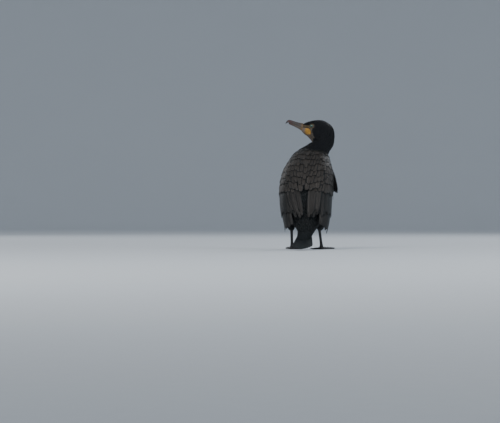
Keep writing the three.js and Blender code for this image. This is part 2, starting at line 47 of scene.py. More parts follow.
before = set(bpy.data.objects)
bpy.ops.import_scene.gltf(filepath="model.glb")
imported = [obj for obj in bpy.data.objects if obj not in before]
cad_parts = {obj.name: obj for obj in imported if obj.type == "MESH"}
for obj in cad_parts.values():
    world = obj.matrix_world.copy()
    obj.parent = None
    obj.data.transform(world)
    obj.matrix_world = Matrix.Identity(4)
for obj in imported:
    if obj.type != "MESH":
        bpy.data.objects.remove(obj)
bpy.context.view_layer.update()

MM = 0.001
VIEW_TURN = math.radians(9)
BILL_RISE = math.radians(13)
ACROSS = np.array([math.cos(VIEW_TURN), math.sin(VIEW_TURN), 0.0])
INTO = np.array([-math.sin(VIEW_TURN), math.cos(VIEW_TURN), 0.0])
RIGHT = np.array([1.0, 0.0, 0.0])
BREAST = np.array([0.0, 1.0, 0.0])
UP = np.array([0.0, 0.0, 1.0])
AHEAD = UP * math.sin(BILL_RISE) - ACROSS * math.cos(BILL_RISE)
CROWN = UP * math.cos(BILL_RISE) + ACROSS * math.sin(BILL_RISE)
HEAD_DEEP = 72
HEAD_AT = 25.2 * ACROSS + HEAD_DEEP * INTO + 432 * UP
SIDES = (("left", -1), ("right", 1))

# Trunk: station, middle x, y, z, half width, depth to the back and to the breast,
# and how far the folded wing stands off at the side and over the back.
TRUNK = [
    (-0.1, 10, -108, 50, 24, 14, 13, 50, 22),
    (0.0, 11, -92, 76, 36, 24, 24, 43, 20),
    (0.12, 8, -70, 110, 60, 40, 42, 27, 17),
    (0.3, 2, -38, 160, 79, 55, 62, 15, 14),
    (0.5, 0, -4, 214, 85, 63, 72, 11, 12),
    (0.7, 2, 28, 268, 80, 61, 70, 10, 10),
    (0.85, 5, 50, 308, 67, 51, 60, 8, 6),
    (1.0, 9, 68, 341, 54, 40, 45, 4, 2),
    (1.06, 11, 75, 355, 40, 29, 31, 2, 1),
]
# Neck, in level sections from inside the crown down: station, height, middle across the view and into it,
# half width across the view and through it.
NECK = [
    (0, 452, 52, 72, 30, 18),
    (0.06, 445, 55, 72, 35.5, 23),
    (0.13, 436, 59, 72, 38.5, 26.5),
    (0.22, 424, 62, 72, 39.5, 28.5),
    (0.37, 404, 65, 71.5, 38.5, 30),
    (0.46, 392, 65, 71, 36.5, 31.5),
    (0.54, 382, 58, 70, 43, 34),
    (0.62, 371, 49, 68.5, 48.5, 37.5),
    (0.7, 360, 35, 67, 55, 40.5),
    (0.78, 349, 24, 64, 59, 43),
    (0.87, 338, 17, 61, 61, 45),
    (1, 320, 12, 57, 53, 42),
]
# Head along the bill's line, from the bill's root back: station, top, underside, half width.
HEAD = [
    (-38, 11.5, -16, 10.5),
    (-28, 18.5, -23, 14),
    (-14, 26.5, -29, 18.5),
    (0, 32.5, -38, 23),
    (15, 37, -49, 26.5),
    (34, 37, -44, 27.5),
    (50, 31, -30, 23),
    (62, 20, -14, 13),
]
HEAD_FULLNESS = 2.1
EYE = {"ahead": 8.0, "aside": 17.5, "up": 9.0, "radius": 5.6}
# Bill: distance ahead, culmen, mouth line, underside, half width.
BILL = [
    (37, 12.2, -5.5, -16, 10),
    (50, 11.8, -2.4, -11, 7.6),
    (65, 12, 0.6, -6.8, 5.9),
    (80, 13.2, 2.6, -3.8, 4.9),
    (89, 13.4, 3.2, -2.4, 4.2),
]
HOOK = [(94, 11.6, 2.2, 2.2, 3.6), (98.2, 7.4, -1.8, -1.8, 2.7), (100.4, 1.2, -5.2, -5.2, 1.3)]
# The bare throat's rear edge on the head's side, from the neck forward: distance ahead and height.
THROAT_EDGE = np.array([(-13, -48), (2, -24), (7, -9), (14, -2.5), (26, -3), (41, -5.5)], float)
OFF_THROAT = -60.0
# The middle line past the trunk: across, up and into the view in the neck, then across and up in the head.
NECK_LINE = ((15, 338, 64), (30, 358, 68), (50, 375, 70), (61, 392, 71), (62, 408, 72))
HEAD_LINE = ((55, 423), (40, 433), (22, 438), (4, 441), (-14, 446))
SPINE_POINTS = 240
SPINE_ROUNDS = 12
# Thigh, seen on the right side: stop, middle x, y, z, half width, half depth.
THIGH = [
    (0, 40, 10, 172, 22, 26),
    (1, 50, 4, 140, 28, 32),
    (2, 54, -8, 108, 24, 28),
    (3, 52, -20, 84, 16, 18),
    (4, 50, -26, 70, 9, 10),
]
ANKLE = np.array([50.0, -26.0, 69.0])
HEEL = np.array([53.0, 6.0, 12.0])
# Toes: length, degrees outward from straight ahead, thickness.
TOES = {"hallux": (34, -82, 3.6), "inner": (60, -30, 4.2), "middle": (84, -4, 4.6), "outer": (98, 20, 4.8)}
TAIL = {"length": 158.0, "spread": 78.0, "steep": 48.0, "flat": 4.0, "feathers": 14}
TAIL_START = np.array([9.0, -96.0, 71.0])
# Tail coverts, over the root and then under it: height off the middle line at start and end, start, end.
TAIL_COVERTS = [
    (9.5, 3.4, 6, 62), (11.5, 4.6, -4, 48), (13.0, 6.5, -10, 34),
    (-6, -2.2, 4, 66), (-9, -3.4, -2, 52), (-11, -6, -8, 36),
]
# Tiers on each wing: kind, vanes, roots and tips at the inner and outer end, half width, sink, lift, flight.
WING_TIERS = [
    ("primary", 8, ((0.48, 46), (0.5, 97)), ((-0.03, 40), (-0.045, 93)), 9.5, 6.5, -2.4, True),
    ("secondary", 11, ((0.52, 22), (0.54, 96)), ((0.06, 13), (0.16, 99)), 9.5, 4.6, 0.2, True),
    ("covert", 10, ((0.64, 28), (0.67, 98)), ((0.33, 25), (0.41, 103)), 10.5, 3.6, 1.0, False),
    ("covert", 10, ((0.72, 30), (0.74, 97)), ((0.44, 28), (0.5, 102)), 10.0, 3.0, 1.5, False),
    ("covert", 10, ((0.78, 32), (0.8, 96)), ((0.53, 31), (0.58, 101)), 9.5, 2.6, 1.9, False),
    ("covert", 9, ((0.84, 34), (0.86, 94)), ((0.61, 34), (0.66, 99)), 9.5, 2.2, 2.1, False),
    ("covert", 9, ((0.88, 36), (0.9, 92)), ((0.69, 36), (0.73, 97)), 9.0, 2.0, 2.2, False),
    ("lesser", 9, ((0.92, 36), (0.93, 90)), ((0.77, 38), (0.8, 95)), 8.0, 1.8, 2.2, False),
    ("lesser", 8, ((0.95, 38), (0.955, 88)), ((0.84, 38), (0.87, 92)), 7.5, 1.6, 2.0, False),
    ("tertial", 5, ((0.5, 12), (0.53, 37)), ((0.05, 7), (0.12, 29)), 9.5, 2.6, 2.2, True),
    ("scapular", 4, ((0.56, 9), (0.58, 36)), ((0.34, 5), (0.38, 33)), 11.0, 1.8, 3.0, False),
    ("scapular", 5, ((0.64, 7), (0.66, 40)), ((0.43, 4), (0.47, 37)), 10.5, 1.7, 3.3, False),
    ("scapular", 5, ((0.72, 6), (0.74, 42)), ((0.51, 3), (0.55, 40)), 10.0, 1.6, 3.6, False),
    ("scapular", 6, ((0.79, 5), (0.81, 43)), ((0.6, 3), (0.63, 42)), 9.5, 1.5, 3.6, False),
    ("scapular", 6, ((0.86, 5), (0.87, 44)), ((0.69, 3), (0.71, 43)), 9.0, 1.4, 3.5, False),
    ("scapular", 6, ((0.92, 5), (0.93, 44)), ((0.78, 3), (0.79, 43)), 8.5, 1.2, 3.2, False),
    ("scapular", 6, ((0.97, 5), (0.975, 44)), ((0.86, 4), (0.87, 44)), 7.5, 1.0, 2.6, False),
    ("lesser", 11, ((1.0, 5), (0.985, 90)), ((0.925, 4), (0.905, 93)), 6.2, 2.6, 2.4, False),
    ("lesser", 12, ((1.035, 6), (1.015, 92)), ((0.965, 5), (0.95, 93)), 5.2, 3.0, 2.0, False),
]
WRIST = {"vanes": 4, "roots": ((0.79, 91), (0.78, 101)), "tips": ((0.515, 93), (0.5, 103)), "half": 8.0}
# How far each layer of wrist feathers stands off: the right wrist bulges in the outline, the left lies flat.
WRIST_LAYERS = {"left": (2.6,), "right": (3.5, 5.5, 7.5, 9.5, 11.5, 13.0, 14.5, 15.5)}
MID_BACK = np.array([0.6, 0.68, 0.76, 0.84, 0.91, 0.97])
# How unevenly the wing's vanes begin and end, in stations of the trunk.
ROOT_SHAKE = 0.004
COVERT_SHAKE = 0.019
FLIGHT_SHAKE = 0.026
# Where one coat gives way to the next: places on the middle line, heights, and distances ahead on the head.
TRUNK_ENDS = {"place": 0.66, "height": 356}
NECK_STARTS = {"place": 0.6, "height": 318}
FACE_STARTS = {"ahead": -14, "height": 385}
BILL_ROOT = 39.5

# Metres: the skin's remesh, and how far past the bird's own origin the camera's scale holds.
SKIN_VOXEL = 0.0022
BIRD_DEPTH = 0.065
# Places picked on the skin, and how near a wing has to lie over it to leave it bare of feathers.
SKIN_PLACES = 420000
WING_OVER = 11.0


def mix(a, b, share):
    return a + (b - a) * share


def ramp(low, high, value):
    """0 below low, 1 above high, smooth between."""
    share = np.clip((value - low) / (high - low), 0, 1)
    return share * share * (3 - 2 * share)


def unit(v):
    return v / np.maximum(np.linalg.norm(v, axis=-1, keepdims=True), 1e-9)


def shade(colour, by=1.0):
    """A colour made darker or paler."""
    return tuple(by * part for part in colour)


def reading(table, station):
    """A smooth reading of every column of a table at a station, the station's own column first."""
    table = np.asarray(table, float)
    station = np.asarray(station, float)
    knots = table[:, 0]
    here = np.searchsorted(knots[1:-1], station, side="left")
    slope = np.empty_like(table)
    slope[1:-1] = (table[2:] - table[:-2]) / (knots[2:] - knots[:-2])[:, None]
    slope[0] = (table[1] - table[0]) / (knots[1] - knots[0])
    slope[-1] = (table[-1] - table[-2]) / (knots[-1] - knots[-2])
    span = (knots[here + 1] - knots[here])[..., None]
    q = (station - knots[here])[..., None] / span
    leave, arrive = slope[here] * span, slope[here + 1] * span
    start = (2 * q**3 - 3 * q**2 + 1) * table[here] + (q**3 - 2 * q**2 + q) * leave
    return start + (3 * q**2 - 2 * q**3) * table[here + 1] + (q**3 - q**2) * arrive


def columns_at(table, station):
    """The same reading, as one array for each column."""
    return np.moveaxis(reading(table, station), -1, 0)


def rounded(wave, fullness=2.2):
    """A sine or cosine made fuller, for sections between an oval and a box."""
    return np.sign(wave) * np.abs(wave) ** (2 / fullness)


def laid_out(at, amounts, axes):
    for amount, axis in zip(amounts, axes):
        at = at + np.asarray(amount, float)[..., None] * axis
    return at


def on_head(ahead, aside, up):
    return laid_out(HEAD_AT, (ahead, aside, up), (AHEAD, INTO, CROWN))


def in_view(across, up, deep):
    return laid_out(0.0, (across, up, deep), (ACROSS, UP, INTO))


def frame_shift():
    """How far the frame's origin is from the bird's own, from the place of the left eye."""
    low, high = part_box("eye_left")
    middle = np.array((low + high) / 2) / MM
    return middle - on_head(EYE["ahead"], -EYE["aside"], EYE["up"])


SHIFT = frame_shift()


def trunk_point(station, degrees, cloak, grow=0.0):
    """A point of the trunk, or of the folded wing's cloak over it, degrees from the middle of the back."""
    station, degrees, cloak = np.broadcast_arrays(station, degrees, cloak)
    share = cloak * mix(0.25, 1, np.clip((np.abs(degrees) - 12) / 33, 0, 1))
    _, x, y, z, wide, back, front, side, over = columns_at(TRUNK, station)
    run = columns_at(TRUNK, station + 0.01) - columns_at(TRUNK, station - 0.01)
    size = np.hypot(run[2], run[3])
    run_y, run_z = run[2] / size, run[3] / size
    turn = np.radians(degrees)
    reach = np.where(np.cos(turn) > 0, back + share * over, front + share * side * 0.5) + grow
    reach = reach * rounded(np.cos(turn))
    out = (wide + share * side + grow) * rounded(np.sin(turn))
    return np.stack([x + out, y - run_z * reach, z + run_y * reach], axis=-1)


def raised(station, degrees, cloak, height):
    """The same point lifted off the surface by height."""
    at = trunk_point(station, degrees, cloak)
    along = trunk_point(station + 0.01, degrees, cloak) - at
    aside = trunk_point(station, degrees + 1, cloak) - at
    return at - unit(np.cross(along, aside)) * np.asarray(height)[..., None]


def turns(count):
    return np.linspace(0, 2 * np.pi, count, endpoint=False)


def ellipse(middle, side, up, wide, high, count, fullness=2.0):
    """Rings of an oval tube: middle and sizes by ring, each ring with count points."""
    turn = turns(count)
    out = np.multiply.outer(wide, rounded(np.sin(turn), fullness))[..., None] * side[..., None, :]
    rise = np.multiply.outer(high, rounded(np.cos(turn), fullness))[..., None] * up[..., None, :]
    return middle[:, None, :] + out + rise


def spine_line():
    """The bird's middle line from the tail root to the bill's root, evenly spaced, with its directions."""
    trunk = [reading(TRUNK, t)[1:4] for t in np.linspace(-0.1, 0.86, 9)]
    neck = [in_view(across, up, deep) for across, up, deep in NECK_LINE]
    head = [in_view(across, up, HEAD_DEEP) for across, up in HEAD_LINE]
    points = np.array(trunk + neck + head)
    place = np.concatenate([[0], np.cumsum(np.linalg.norm(np.diff(points, axis=0), axis=1))])
    even = np.linspace(0, place[-1], SPINE_POINTS)
    line = np.stack([np.interp(even, place, points[:, k]) for k in range(3)], axis=1)
    for _ in range(SPINE_ROUNDS):
        line[1:-1] = (line[:-2] + line[2:] + 2 * line[1:-1]) / 4
    return line, unit(np.gradient(line, axis=0))


SPINE, SPINE_RUN = spine_line()


def along_spine(points, batch=4000):
    """For each point: the nearest place on the middle line from 0 to 1, its direction and its point."""
    nearest = np.empty(len(points), int)
    for start in range(0, len(points), batch):
        some = points[start : start + batch]
        far = ((some[:, None, :] - SPINE[None]) ** 2).sum(axis=2)
        nearest[start : start + batch] = far.argmin(axis=1)
    return nearest / (len(SPINE) - 1), SPINE_RUN[nearest], SPINE[nearest]


def unwrapped(points):
    """The skin opened along its middle line: the turn round the line and the place along it, from 0 to 1."""
    place, run, middle = along_spine(points)
    right = unit(np.cross(run, np.cross(np.array([1.0, 0.15, 0.0]), run)))
    rear = np.cross(right, run)
    offset = points - middle
    turn = np.arctan2((offset * right).sum(axis=1), (offset * rear).sum(axis=1))
    margin = 0.02
    used = 1 - 2 * margin
    return np.stack([0.5 + turn / (2 * np.pi) * used, margin + used * place], axis=1)


def kept_by(items, name, width, kind=np.float32):
    """What a mesh keeps under a name for each of its items, one row an item."""
    numbers = np.empty(len(items) * width, kind)
    items.foreach_get(name, numbers)
    return numbers.reshape(-1, width)


def bird_places(mesh):
    """A mesh's points in the bird's millimetres."""
    return kept_by(mesh.vertices, "co", 3).astype(float) / MM - SHIFT


def blend_mesh(name, points, quads, triangles=()):
    """A smooth mesh in the frame's metres from points in the bird's millimetres."""
    quads = np.asarray(quads, np.int32).reshape(-1, 4)
    triangles = np.asarray(triangles, np.int32).reshape(-1, 3)
    points = (np.asarray(points, float).reshape(-1, 3) + SHIFT) * MM
    mesh = bpy.data.meshes.new(name)
    mesh.vertices.add(len(points))
    mesh.vertices.foreach_set("co", points.astype(np.float32).ravel())
    corners = np.concatenate([quads.ravel(), triangles.ravel()])
    sizes = np.concatenate([np.full(len(quads), 4), np.full(len(triangles), 3)])
    mesh.loops.add(len(corners))
    mesh.loops.foreach_set("vertex_index", corners)
    mesh.polygons.add(len(sizes))
    mesh.polygons.foreach_set("loop_start", np.concatenate([[0], np.cumsum(sizes)[:-1]]))
    mesh.polygons.foreach_set("use_smooth", np.full(len(sizes), True))
    mesh.update(calc_edges=True)
    mesh.validate()
    return mesh


def paint_uv(mesh, name, per_vertex):
    """A UV map from one coordinate a vertex."""
    corners = kept_by(mesh.loops, "vertex_index", 1, np.int32)[:, 0]
    layer = mesh.uv_layers.new(name=name)
    layer.data.foreach_set("uv", np.asarray(per_vertex, np.float32)[corners].ravel())


def paint_value(mesh, name, per_vertex):
    """A named value a vertex, for the materials."""
    layer = mesh.attributes.new(name, "FLOAT", "POINT")
    layer.data.foreach_set("value", np.asarray(per_vertex, np.float32).ravel())


def show(mesh, material, slot, *nodes):
    """Puts a mesh in the scene as a piece that rides on the bird and stands for some of its solids."""
    piece = bpy.data.objects.new(mesh.name, mesh)
    bpy.context.scene.collection.objects.link(piece)
    mesh.materials.append(material)
    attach(piece, "root")
    if nodes:
        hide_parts(*nodes)


def tube_sides(rings, count, first=0):
    """Quads between the rings of a tube."""
    ring, spoke = np.meshgrid(np.arange(rings - 1), np.arange(count), indexing="ij")
    a = first + ring * count + spoke
    b = first + ring * count + (spoke + 1) % count
    return np.stack([a, b, b + count, a + count], axis=-1).reshape(-1, 4)


def tube_ends(rings, count, first=0):
    """Triangles round a tube's two end points, which come after its rings."""
    here = np.arange(count)
    after = (here + 1) % count
    last = (rings - 1) * count
    foot = np.stack([np.full(count, rings * count), after, here], axis=1)
    top = np.stack([np.full(count, rings * count + 1), last + here, last + after], axis=1)
    return first + np.concatenate([foot, top])


def tube_mesh(name, tubes):
    """Closed tubes as one mesh, with how far round and along its tube each point lies."""
    points, quads, triangles, lay, first = [], [], [], [], 0
    for rings in tubes:
        rows, count = rings.shape[:2]
        quads.append(tube_sides(rows, count, first))
        triangles.append(tube_ends(rows, count, first))
        points += [rings.reshape(-1, 3), np.stack([rings[0].mean(axis=0), rings[-1].mean(axis=0)])]
        around = np.append(np.tile(np.arange(count) / count, rows), [0.5, 0.5])
        along = np.append(np.repeat(np.linspace(0, 1, rows), count), [0, 1])
        lay.append(np.stack([around, along], axis=1))
        first += rows * count + 2
    mesh = blend_mesh(name, *(np.concatenate(part) for part in (points, quads, triangles)))
    paint_uv(mesh, "lay", np.concatenate(lay))
    return mesh


class Bench:
    """Adds nodes to one material and wires them to its shader."""

    def __init__(self, name, specular, constants=None):
        self.material = bpy.data.materials.new(name)
        self.material.use_nodes = True
        self.tree = self.material.node_tree
        self.shader = self.tree.nodes["Principled BSDF"]
        self.shader.inputs["Specular IOR Level"].default_value = specular
        for socket, value in (constants or {}).items():
            self.shader.inputs[socket].default_value = value

    def add(self, kind, settings=None, **inputs):
        node = self.tree.nodes.new(kind)
        for key, value in (settings or {}).items():
            setattr(node, key, value)
        for key, value in inputs.items():
            self.join(node.inputs[key], value)
        return node

    def join(self, socket, value):
        if isinstance(value, bpy.types.NodeSocket):
            self.tree.links.new(value, socket)
        else:
            socket.default_value = value

    def maths(self, operation, *values, clamp=False):
        node = self.add("ShaderNodeMath", {"operation": operation, "use_clamp": clamp})
        for socket, value in zip(node.inputs, values):
            self.join(socket, value)
        return node.outputs[0]

    def times(self, first, second):
        return self.maths("MULTIPLY", first, second)

    def scaled(self, value, by, plus, clamp=False):
        return self.maths("MULTIPLY_ADD", value, by, plus, clamp=clamp)

    def spread(self, value, low, high, start=0.0, end=1.0):
        """Goes from start to end as the value goes from low to high."""
        node = self.add("ShaderNodeMapRange", {"interpolation_type": "SMOOTHSTEP"})
        for socket, given in zip(node.inputs, (value, low, high, start, end)):
            self.join(socket, given)
        return node.outputs[0]

    def blend(self, share, first, second):
        """From the first colour to the second."""
        node = self.add("ShaderNodeMix", {"data_type": "RGBA"})
        self.join(node.inputs[0], share)
        for socket, given in ((node.inputs[6], first), (node.inputs[7], second)):
            self.join(socket, (*given, 1) if isinstance(given, tuple) else given)
        return node.outputs[2]

    def place(self):
        return self.add("ShaderNodeNewGeometry").outputs["Position"]

    def noise(self, scale, detail=3.0):
        return self.add("ShaderNodeTexNoise", Scale=scale, Detail=detail, Vector=self.place()).outputs["Fac"]

    def uv(self, name):
        lay = self.add("ShaderNodeUVMap", {"uv_map": name}).outputs[0]
        return self.add("ShaderNodeSeparateXYZ", Vector=lay).outputs[:2]

    def value(self, name):
        return self.add("ShaderNodeAttribute", {"attribute_name": name}).outputs["Fac"]

    def bump(self, height, strength, distance):
        node = self.add("ShaderNodeBump", Height=height, Strength=strength, Distance=distance)
        self.join(self.shader.inputs["Normal"], node.outputs[0])

    def colour(self, value):
        self.join(self.shader.inputs["Base Color"], value)

    def roughness(self, value, least, most):
        """Roughness from least to most, by a cloudy value."""
        self.join(self.shader.inputs["Roughness"], self.spread(value, 0.3, 0.7, least, most))


def feather_finish(name, centre, rim, rim_from, gloss, gloss_share, rough, barbs=85.0, slender=6.0):
    """Feathers: a centre, a darker rim, barbs that slant off the shaft, and a painted sheen: at the edges
    turned from the view the colour goes over to the gloss colour.
    """
    bench = Bench(name, 0.22, {"Sheen Weight": 0.02, "Sheen Roughness": 0.4})
    across, along = bench.uv("vane")
    off_shaft = bench.maths("ABSOLUTE", bench.scaled(across, 2.0, -1.0))
    patchy = bench.noise(190.0, 2.0)
    edge = bench.maths("MAXIMUM", off_shaft, bench.scaled(along, slender, 1 - slender))
    ragged = bench.scaled(patchy, 0.16, bench.maths("SUBTRACT", edge, 0.08))
    rimmed = bench.spread(ragged, rim_from, rim_from + 0.14)
    slant = bench.scaled(off_shaft, -0.42, along)
    barb = bench.maths("SINE", bench.times(slant, barbs * 2 * math.pi))
    tone = bench.scaled(bench.value("tone"), 0.45, bench.scaled(patchy, 0.5, 0.05))
    tone = bench.scaled(barb, 0.16, tone, clamp=True)
    body = bench.blend(rimmed, bench.blend(tone, shade(centre, 0.55), shade(centre, 1.35)), rim)
    shaft = bench.spread(off_shaft, 0.02, 0.09, 0.75, 0.0)
    body = bench.blend(shaft, body, shade(centre, 0.35))
    # Painted sheen: where the surface turns from the view the base colour goes over to the gloss colour, in
    # cloudy patches, in place of the feathers' green-blue or violet reflection.
    turned = bench.add("ShaderNodeLayerWeight", Blend=0.42).outputs["Facing"]
    cloudy = bench.spread(bench.noise(26.0, 2.0), 0.3, 0.7, 0.45, 1.0)
    painted_sheen = bench.times(bench.times(turned, 0.65 * gloss_share), cloudy)
    bench.colour(bench.blend(painted_sheen, body, gloss))
    bench.join(bench.shader.inputs["Roughness"], bench.scaled(patchy, 0.16, rough - 0.08))
    ridge = bench.spread(off_shaft, 0.0, 0.1, 1.0, 0.0)
    bench.bump(bench.scaled(ridge, 1.4, bench.times(barb, 0.5)), 0.6, 0.0003)
    return bench.material


class Coat:
    """Gathers many closed vanes into one mesh, each with its own small patch of the skin's unwrap."""

    def __init__(self):
        self.points, self.quads, self.triangles = [], [], []
        self.vane, self.bake, self.tone, self.count = [], [], [], 0

    def add(self, top, under, across, along, tone):
        """top holds vanes, rows and columns of points; under holds the middle line below each row."""
        vanes, rows, columns = top.shape[:3]
        each = rows * (columns + 1)
        grid = np.arange(rows * columns).reshape(rows, columns)
        low = rows * columns + np.arange(rows)
        upper = np.stack([grid[:-1, :-1], grid[:-1, 1:], grid[1:, 1:], grid[1:, :-1]], axis=-1)
        left = np.stack([grid[:-1, 0], grid[1:, 0], low[1:], low[:-1]], axis=-1)
        right = np.stack([low[:-1], low[1:], grid[1:, -1], grid[:-1, -1]], axis=-1)
        quads = np.concatenate([upper.reshape(-1, 4), left, right])
        root = np.stack([np.full(columns - 1, low[0]), grid[0, 1:], grid[0, :-1]], axis=-1)
        tip = np.stack([np.full(columns - 1, low[-1]), grid[-1, :-1], grid[-1, 1:]], axis=-1)
        start = self.count + np.arange(vanes)[:, None, None] * each
        self.quads.append((quads[None] + start).reshape(-1, 4))
        self.triangles.append((np.concatenate([root, tip])[None] + start).reshape(-1, 3))
        self.points.append(np.concatenate([top.reshape(vanes, -1, 3), under], axis=1).reshape(-1, 3))
        side = np.concatenate([np.broadcast_to(across, (rows, columns)).ravel(), np.full(rows, 0.0)])
        far = np.concatenate([np.repeat(along, columns), along])
        self.vane.append(np.tile(np.stack([0.5 + 0.5 * side, far], axis=1), (vanes, 1)))
        patch = np.stack([0.0015 * side, 0.003 * far], axis=1)
        roots = unwrapped(top[:, 0, columns // 2])
        self.bake.append((roots[:, None, :] + patch[None]).reshape(-1, 2))
        self.tone.append(np.repeat(tone, each))
        self.count += vanes * each

    def show(self, name, material, slot, *nodes):
        parts = (self.points, self.quads, self.triangles)
        mesh = blend_mesh(name, *(np.concatenate(part) for part in parts))
        paint_uv(mesh, "OFBake", np.concatenate(self.bake))
        paint_uv(mesh, "vane", np.concatenate(self.vane))
        paint_value(mesh, "tone", np.concatenate(self.tone))
        show(mesh, material, slot, *nodes)


def vane_form(rows, root, widen, tip_from, tip_length, power):
    """Rows from a vane's root to its tip, and at each the share of its half width."""
    rows = np.array(rows)
    tip = np.clip(rows - tip_from, 0, 1) / tip_length
    return rows, np.clip(root + widen * rows, 0, 1) * np.sqrt(np.clip(1 - tip**power, 0, 1))


COVERT = vane_form([0, 0.25, 0.5, 0.68, 0.8, 0.89, 0.96, 1.0], 0.62, 1.1, 0.6, 0.405, 2.2)
FLIGHT = vane_form([0, 0.12, 0.25, 0.38, 0.5, 0.62, 0.74, 0.84, 0.91, 0.96, 1.0], 0.6, 1.2, 0.68, 0.323, 2.0)
BODY = vane_form([0, 0.38, 0.7, 0.9, 1.0], 0.6, 1.3, 0.4, 0.61, 2.0)
TUFT_ROWS = np.array([0, 0.4, 0.75, 1.0])
TUFT = TUFT_ROWS, np.clip(0.5 + 1.6 * TUFT_ROWS, 0, 1) * np.clip(1.28 - 1.18 * TUFT_ROWS, 0.06, 1)
# Columns across a vane from edge to edge, and the shaft's height at each.
SMALL_BLADE = np.array([-1, 0, 1.0])
BLADE = np.array([-1, -0.72, -0.4, -0.07, 0.07, 0.4, 0.72, 1])
SHAFT = np.array([0, 0, 0, 0.25, 0.25, 0, 0, 0])
SHAFT_COLUMN = 3


def wing_vanes(coat, side, roots, tips, half, sink, lift, tilt, form, chance, camber=0.5):
    """Lays vanes on the folded wing; a root or tip is a trunk station and degrees from mid-back."""
    rows, outline = form
    q = rows[None, :, None]
    station = mix(roots[:, 0, None, None], tips[:, 0, None, None], q)
    degrees = mix(roots[:, 1, None, None], tips[:, 1, None, None], q)
    arc = np.linalg.norm(trunk_point(station, degrees + 1, 1) - trunk_point(station, degrees, 1), axis=-1)
    torn = chance.standard_normal((len(roots), len(rows), len(BLADE))) * (np.abs(BLADE) > 0.9)
    ragged = 1 + 0.06 * torn * (q > 0.3)
    reach = half * outline[None, :, None] * BLADE[None, None, :] * ragged
    proud = np.broadcast_to(lift, len(roots))[:, None, None]
    height = mix(-sink, proud, q**0.8) + camber * (1 - BLADE**2) * (1 - 0.4 * q) + tilt * BLADE + SHAFT
    spot = side * (degrees + reach / arc)
    top = raised(np.broadcast_to(station, spot.shape), spot, 1, height)
    under = raised(station[..., 0], side * degrees[..., 0], 1, height[..., SHAFT_COLUMN] - 0.5)
    coat.add(top, under, BLADE, rows, chance.random(len(roots)))


def tier_places(count, ends, shake, chance, stagger=0.25):
    """Evenly spread places from the inner end to the outer, staggered by row, each shaken a little."""
    share = ((np.arange(count) + stagger) / (count - 0.5))[:, None]
    places = mix(np.array(ends[0], float), np.array(ends[1], float), share)
    places[:, 0] += shake * chance.uniform(-1, 1, count)
    places[:, 1] += 80 * shake * chance.uniform(-1, 1, count)
    return places


def tail_line(length):
    """Points and upward directions at distances along the tail's bent middle line."""
    fine = np.linspace(-12, 175, 800)
    pitch = np.radians(mix(TAIL["steep"], TAIL["flat"], np.minimum(1, fine / TAIL["length"])))
    step = np.stack([0 * pitch, -np.cos(pitch), -np.sin(pitch)], axis=1) * (fine[1] - fine[0])
    run = np.cumsum(step, axis=0)
    start = np.stack([np.interp(0, fine, run[:, k]) for k in range(3)])
    at = np.stack([np.interp(length, fine, run[:, k] - start[k]) for k in range(3)], axis=-1)
    tipped = np.interp(length, fine, pitch)
    return TAIL_START + at, np.stack([0 * tipped, -np.sin(tipped), np.cos(tipped)], axis=-1)


def root_to_tip(ends, q):
    """From each vane's value at its root to its value at its tip."""
    return mix(ends[:, 0, None, None], ends[:, 1, None, None], q)


def tail_vanes(coat, reach, across, half, height, tilt, form, chance):
    """Lays vanes on the tail; reach, across and height hold a value at the root and one at the tip."""
    rows, outline = form
    q = rows[None, :, None]
    count = len(reach)
    point, up = tail_line(np.broadcast_to(root_to_tip(reach, q), (count, len(rows), len(BLADE))))
    ragged = 1 + 0.04 * chance.standard_normal((count, len(rows), 1)) * (q > 0.3)
    wide = half * outline[None, :, None] * BLADE[None, None, :] * ragged
    point[..., 0] += root_to_tip(across, q) + wide
    high = root_to_tip(height, q) + tilt[:, None, None] * BLADE
    high = high + 0.3 * (1 - BLADE**2) + 0.8 * SHAFT
    top = point + up * high[..., None]
    under = (point - up * 0.8)[:, :, SHAFT_COLUMN] + up[:, :, SHAFT_COLUMN] * high[:, :, SHAFT_COLUMN, None]
    top[..., 2] = np.maximum(top[..., 2], 0.5)
    under[..., 2] = np.maximum(under[..., 2], 0.05)
    coat.add(top, under, BLADE, rows, chance.random(count))


def spread_over(points, spacing, chance):
    """Picks points about evenly, one to a cell of the spacing, in a shaken order."""
    order = chance.permutation(len(points))
    cells = np.floor((points[order] + chance.uniform(0, spacing, 3)) / spacing).astype(int)
    _, first = np.unique(cells, axis=0, return_index=True)
    return order[np.sort(first)]


class Skin:
    """The bird's one skin: places picked evenly over it, the way each faces, and its nearest surface."""

    @classmethod
    def measure(cls, mesh, count, chance):
        mesh.calc_loop_triangles()
        corners = kept_by(mesh.loop_triangles, "vertices", 3, np.int32)
        places = bird_places(mesh)
        facing = kept_by(mesh.vertices, "normal", 3).astype(float)
        a, b, c = (places[corners[:, k]] for k in range(3))
        area = np.linalg.norm(np.cross(b - a, c - a), axis=1)
        picked = chance.choice(len(corners), size=count, p=area / area.sum())
        share = chance.random((2, count, 1))
        root = np.sqrt(share[0])
        weights = [1 - root, root * (1 - share[1]), root * share[1]]
        cls.points = sum(w * p[picked] for w, p in zip(weights, (a, b, c)))
        cls.normals = unit(sum(w * facing[corners[picked, k]] for k, w in enumerate(weights)))
        cls.tree = BVHTree.FromPolygons(places.tolist(), corners.tolist())

    @classmethod
    def nearest(cls, points):
        flat = points.reshape(-1, 3)
        found, facing = np.empty_like(flat), np.empty_like(flat)
        for i, point in enumerate(flat.tolist()):
            found[i], facing[i] = cls.tree.find_nearest(point)[:2]
        return found.reshape(points.shape), facing.reshape(points.shape)


def lie_of_coat(points):
    """Which way the feathers point: from the bill back over the head, down the neck and along the body."""
    run = along_spine(points)[1]
    x, y, z = points.T
    thigh = ramp(34, 22, np.abs(x - np.sign(x) * 52)) * ramp(165, 140, z)
    thigh = thigh * ramp(-52, -30, y + 0.25 * (z - 100)) * ramp(150, 120, z - y)
    return unit(mix(-run, np.array([0.0, -0.3, -0.95]), 0.85 * thigh[:, None]))


